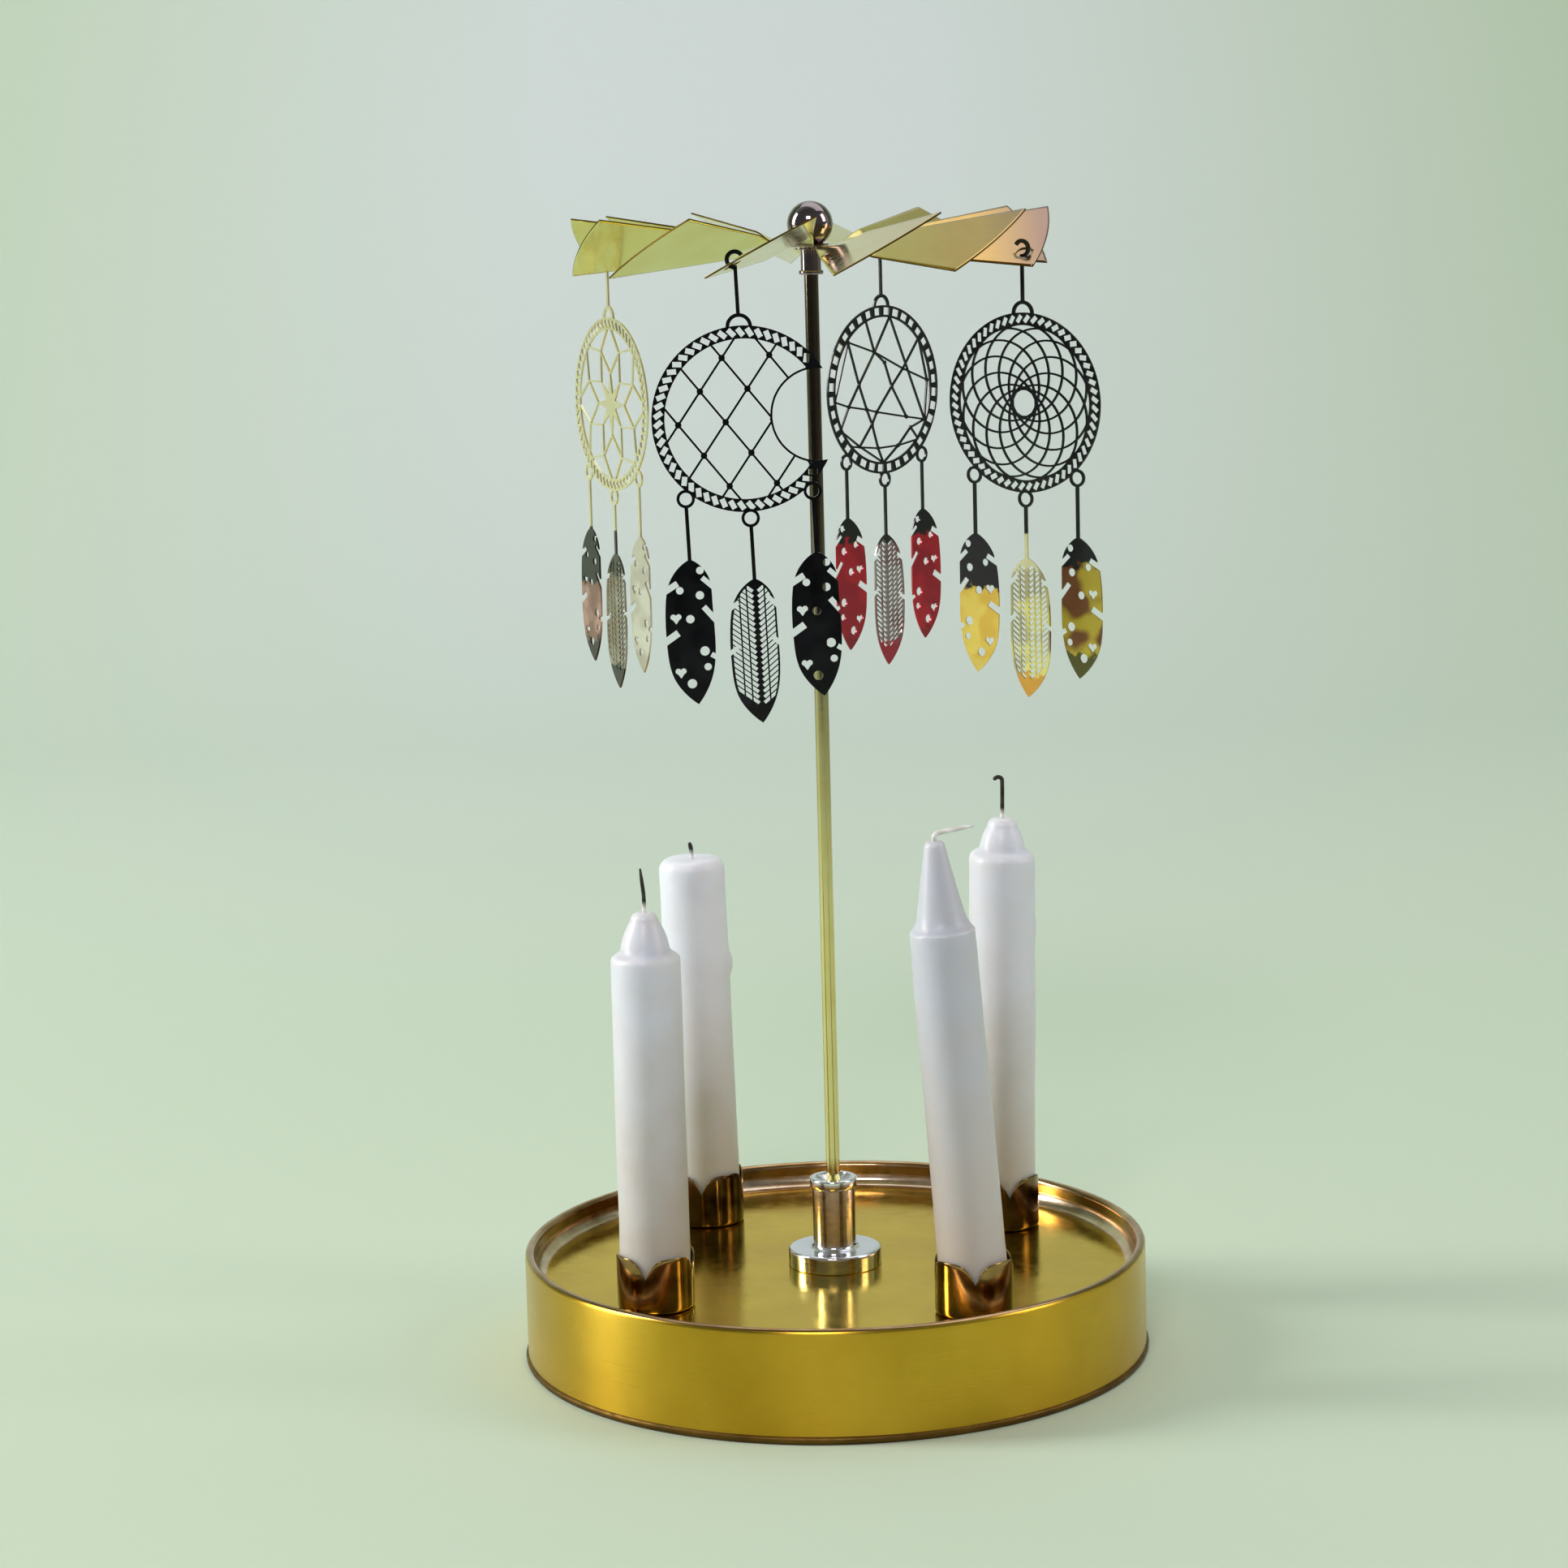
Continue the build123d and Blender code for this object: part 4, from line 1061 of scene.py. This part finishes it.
# %% Fan, its place and thickness
first_corner_azimuth = -205.5
first_vane = first_corner_azimuth + corner_degrees
turn = Matrix.Rotation(radians(first_vane), 3, "Z")
bmesh.ops.rotate(bm, cent=(0, 0, 0), matrix=turn, verts=bm.verts)
bmesh.ops.translate(bm, vec=(0, 0, fan_height * mm), verts=bm.verts)
fan = finish_mesh(bm, "fan", 40)
thicken = fan.modifiers.new("sheet", "SOLIDIFY")
thicken.thickness = fan_sheet * mm
thicken.offset = 0
thicken.material_offset_rim = 1
print("fan turned by degrees", round(first_vane, 2))

# %% [markdown]
# The disc is rolled brass, so thin that it waves a little, and light as straw. Its right side is
# painted warm and the last vane there rosy, as painted reflections. Each vane could have its own
# material, but the tints run into each other, so they are drawn as changes from left to right. The
# cut edge, which is the second material, is darker and rougher than the sheet.

# %% Fan, its brass
warm_reflection_start, warm_reflection_end = 0.0, 0.03
rosy_reflection_start, rosy_reflection_end = 0.034, 0.048

# large soft mirror images in straw, and painted gold and rose reflections at the right
fan_brass = polished_metal("thin fan brass", "EAE294", "E0D074", 0.13, 0.08)
tree = fan_brass.node_tree
shader = tree.nodes["Principled BSDF"]
plain = shader.inputs["Base Color"].links[0].from_socket
across = add(tree, "SeparateXYZ", {"Vector": add(tree, "TexCoord").outputs["Object"]}).outputs["X"]
warm_reflection = change_tone(tree, across, warm_reflection_start, warm_reflection_end, plain, colour("D4AA60"))
rosy_reflection = change_tone(tree, across, rosy_reflection_start, rosy_reflection_end, warm_reflection, colour("9E7E6E"))
tree.links.new(rosy_reflection, shader.inputs["Base Color"])
# a thin brown line round every vane
edge_brass = polished_metal("cut fan edge", "6E5A2A", "4A3A1C", 0.4, 0.01)
fan.data.materials.append(fan_brass)
fan.data.materials.append(edge_brass)
place_piece(fan, "rotor", "fan_brass", None, "rotor_vanes")

# %% [markdown]
# The pendants are etched from thin sheet, with every thread of the web and every hole in the
# feathers cut through. The solids have the whole pattern already, and drawing it twice would only
# bring mistakes, so they keep their shapes. Each hangs from the middle of its hook, turned by so
# many degrees about the vertical, and all places on it are measured from there.

# %% Pendants, where they hang
hooks = {
    "pendant_flower": {"centre": (-43.469, 15.458, 237.357), "turn": -63.0, "tilt": 0.0},
    "pendant_moon": {"centre": (-15.405, -43.67, 237.357), "turn": 3.0, "tilt": 2.0},
    "pendant_spiral": {"centre": (43.296, -15.603, 237.357), "turn": 143.0, "tilt": 0.0},
    "pendant_chords": {"centre": (15.567, 43.326, 237.357), "turn": 227.6, "tilt": 0.0},
}
feather_top = -58.8
feather_split = 5.5
print("pendants hang at", [hook["centre"] for hook in hooks.values()])

# %% [markdown]
# A feather has a top colour, a body in two patchy colours and a tip colour, with ragged borders,
# as a brush leaves them. A painted picture could show that, but a height and a noise are enough:
# the noise pushes the border up and down, and a second one makes the patches.

# %% Pendants, the colours of one feather
patch_start, patch_end = 0.44, 0.56
border = 0.4


def feather_tone(tree, feather, patches, ragged):
    """Colour of one feather: top, patchy body and tip."""
    top, top_end, patch, other, tip, tip_start = feather
    body = change_tone(tree, patches, patch_start, patch_end, colour(patch), colour(other))
    start, end = (top_end - border) * mm, (top_end + border) * mm
    upper = change_tone(tree, ragged, start, end, body, colour(top))
    start, end = (tip_start - border) * mm, (tip_start + border) * mm
    return change_tone(tree, ragged, start, end, colour(tip), upper)


print("a border between two colours is", 2 * border, "mm wide")

# %% [markdown]
# The etched sheet is lacquered, with the webs plain gold or black. The black is partly the sheet's
# own and partly painted dark reflection of the dim room in front. A material for each feather
# would need new cuts in the solids, so one lacquer reads the pendant's own left, right and height
# and picks the colour from there.

# %% Pendants, their lacquer
ragged_size, ragged_reach = 2.0, 1.2
patch_size = 6
split_border = 0.01
web_border = 0.2
brush_size, brush_low, brush_high = 3, 0.12, 0.26
sheet_wave, sheet_wave_depth = 9, 0.05


def lacquer(node, web, feathers):
    """Bright lacquer over metal: deep even colour with soft highlights."""
    hook = hooks[node]
    turn, tilt = radians(hook["turn"]), radians(hook["tilt"])
    material, tree, shader, place = new_material(
        "lacquer on " + node.replace("_", " "), Metallic=0.6, Coat_Weight=0.3, Coat_Roughness=0.1
    )
    centre = Vector(hook["centre"]) * mm
    local = add(tree, "VectorMath", {0: place, 1: centre}, operation="SUBTRACT").outputs["Vector"]
    sideways = Vector((cos(turn), sin(turn), 0))
    own_x = sideways * cos(tilt) + Vector((0, 0, sin(tilt)))
    own_y = Vector((0, 0, cos(tilt))) - sideways * sin(tilt)
    across = add(tree, "VectorMath", {0: local, 1: own_x}, operation="DOT_PRODUCT").outputs["Value"]
    height = add(tree, "VectorMath", {0: local, 1: own_y}, operation="DOT_PRODUCT").outputs["Value"]
    rags = wander(tree, grain(tree, place, ragged_size), -ragged_reach * mm, ragged_reach * mm)
    ragged = add(tree, "Math", {0: height, 1: rags}, operation="ADD").outputs[0]
    patches = grain(tree, place, patch_size, 1)
    left, middle, right_tone = [feather_tone(tree, feather, patches, ragged) for feather in feathers]
    start, end = (feather_split - split_border) * mm, (feather_split + split_border) * mm
    leaf = change_tone(tree, across, start, end, middle, right_tone)
    leaf = change_tone(tree, across, -end, -start, left, leaf)
    start, end = (feather_top - web_border) * mm, (feather_top + web_border) * mm
    tone = change_tone(tree, height, start, end, leaf, colour(web))
    tree.links.new(tone, shader.inputs["Base Color"])
    brushed = wander(tree, grain(tree, place, brush_size), brush_low, brush_high)
    tree.links.new(brushed, shader.inputs["Roughness"])
    shallow_waves(tree, shader, place, sheet_wave, 1, sheet_wave_depth)
    print("lacquer:", node, "web", web)
    return material


# %% [markdown]
# The colours were read off the photograph and follow here, with the web first. A feather has its
# top colour and the height where that ends, its two patch colours, and its tip colour and the height
# where that starts. Painted pictures could hold the same, but a few codes are easier to change. The
# feathers go from the pendant's own left to its right.

# %% Pendants, their colours
# the black colours are partly the pendants' own and partly painted dark reflection
black_feather = ("121218", -70, "14141B", "1B1B22", "101015", -86)
black_mesh = ("1C1C22", -70, "1E1E24", "26262C", "121217", -89)
red_feather = ("17141A", -64.5, "B8142E", "A00E2A", "8C1026", -86)
red_mesh = ("2A2628", -66, "8A7C80", "7A5A60", "A02438", -88)
rose_feather = ("1C1618", -71, "B98E84", "8A6258", "241A1C", -83.5)
grey_mesh = ("4A4640", -68, "A09A8C", "8E8474", "2A2622", -88)
pale_feather = ("CFC8BA", -66, "C4BCAE", "DAD4C8", "B8AE9E", -84)
olive_feather = ("121217", -65, "B09A30", "6A3E1C", "4E4A1C", -83)
gold_mesh = ("E0D7AE", -66, "E2D584", "B4AA86", "D2983C", -88)
yellow_feather = ("1A121E", -70.5, "E6C65E", "DDB24A", "E0C060", -85)
coats = {
    "pendant_flower": lacquer("pendant_flower", "E4DDB4", (rose_feather, grey_mesh, pale_feather)),
    "pendant_moon": lacquer("pendant_moon", "16171D", (black_feather, black_mesh, black_feather)),
    "pendant_spiral": lacquer("pendant_spiral", "17181D", (olive_feather, gold_mesh, yellow_feather)),
    "pendant_chords": lacquer("pendant_chords", "1D1E24", (red_feather, red_mesh, red_feather)),
}


def dress_solid(name, material):
    """Give a solid that keeps its shape its material."""
    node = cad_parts[name]
    node.data.materials.clear()
    node.data.materials.append(material)
    print(name, "faces", len(node.data.polygons))


for name, coat in coats.items():
    dress_solid(name, coat)

# %% [markdown]
# The small parts are hardly seen: rivets in the cups, the washer and nut under the tray, the steel
# needle in the rod's tip and the bearing cup inside the ball. They could be spun again like the
# rest, but their solids are fine enough as they are and only need their metals.

# %% Small parts
# soft highlights on the small heads
rivet_brass = polished_metal("satin rivet brass", "C9A24E", "A8823A", 0.3, 0.01)
# a grey, slightly cloudy sheen
zinc_steel = polished_metal("zinc plated steel", "BFC3C6", "A3A8AB", 0.34, 0.01)
# one sharp bright line
needle_steel = polished_metal("polished needle steel", "D0D2D4", "BFC2C5", 0.12, 0.004)
# a warm mirror with faint turning marks
bearing_brass = polished_metal("turned bearing brass", "CFA955", "B8903F", 0.2, 0.006)
dress_solid("cup_rivets", rivet_brass)
dress_solid("socket_washer", zinc_steel)
dress_solid("socket_nut", zinc_steel)
dress_solid("pivot_needle", needle_steel)
dress_solid("bearing_cup", bearing_brass)
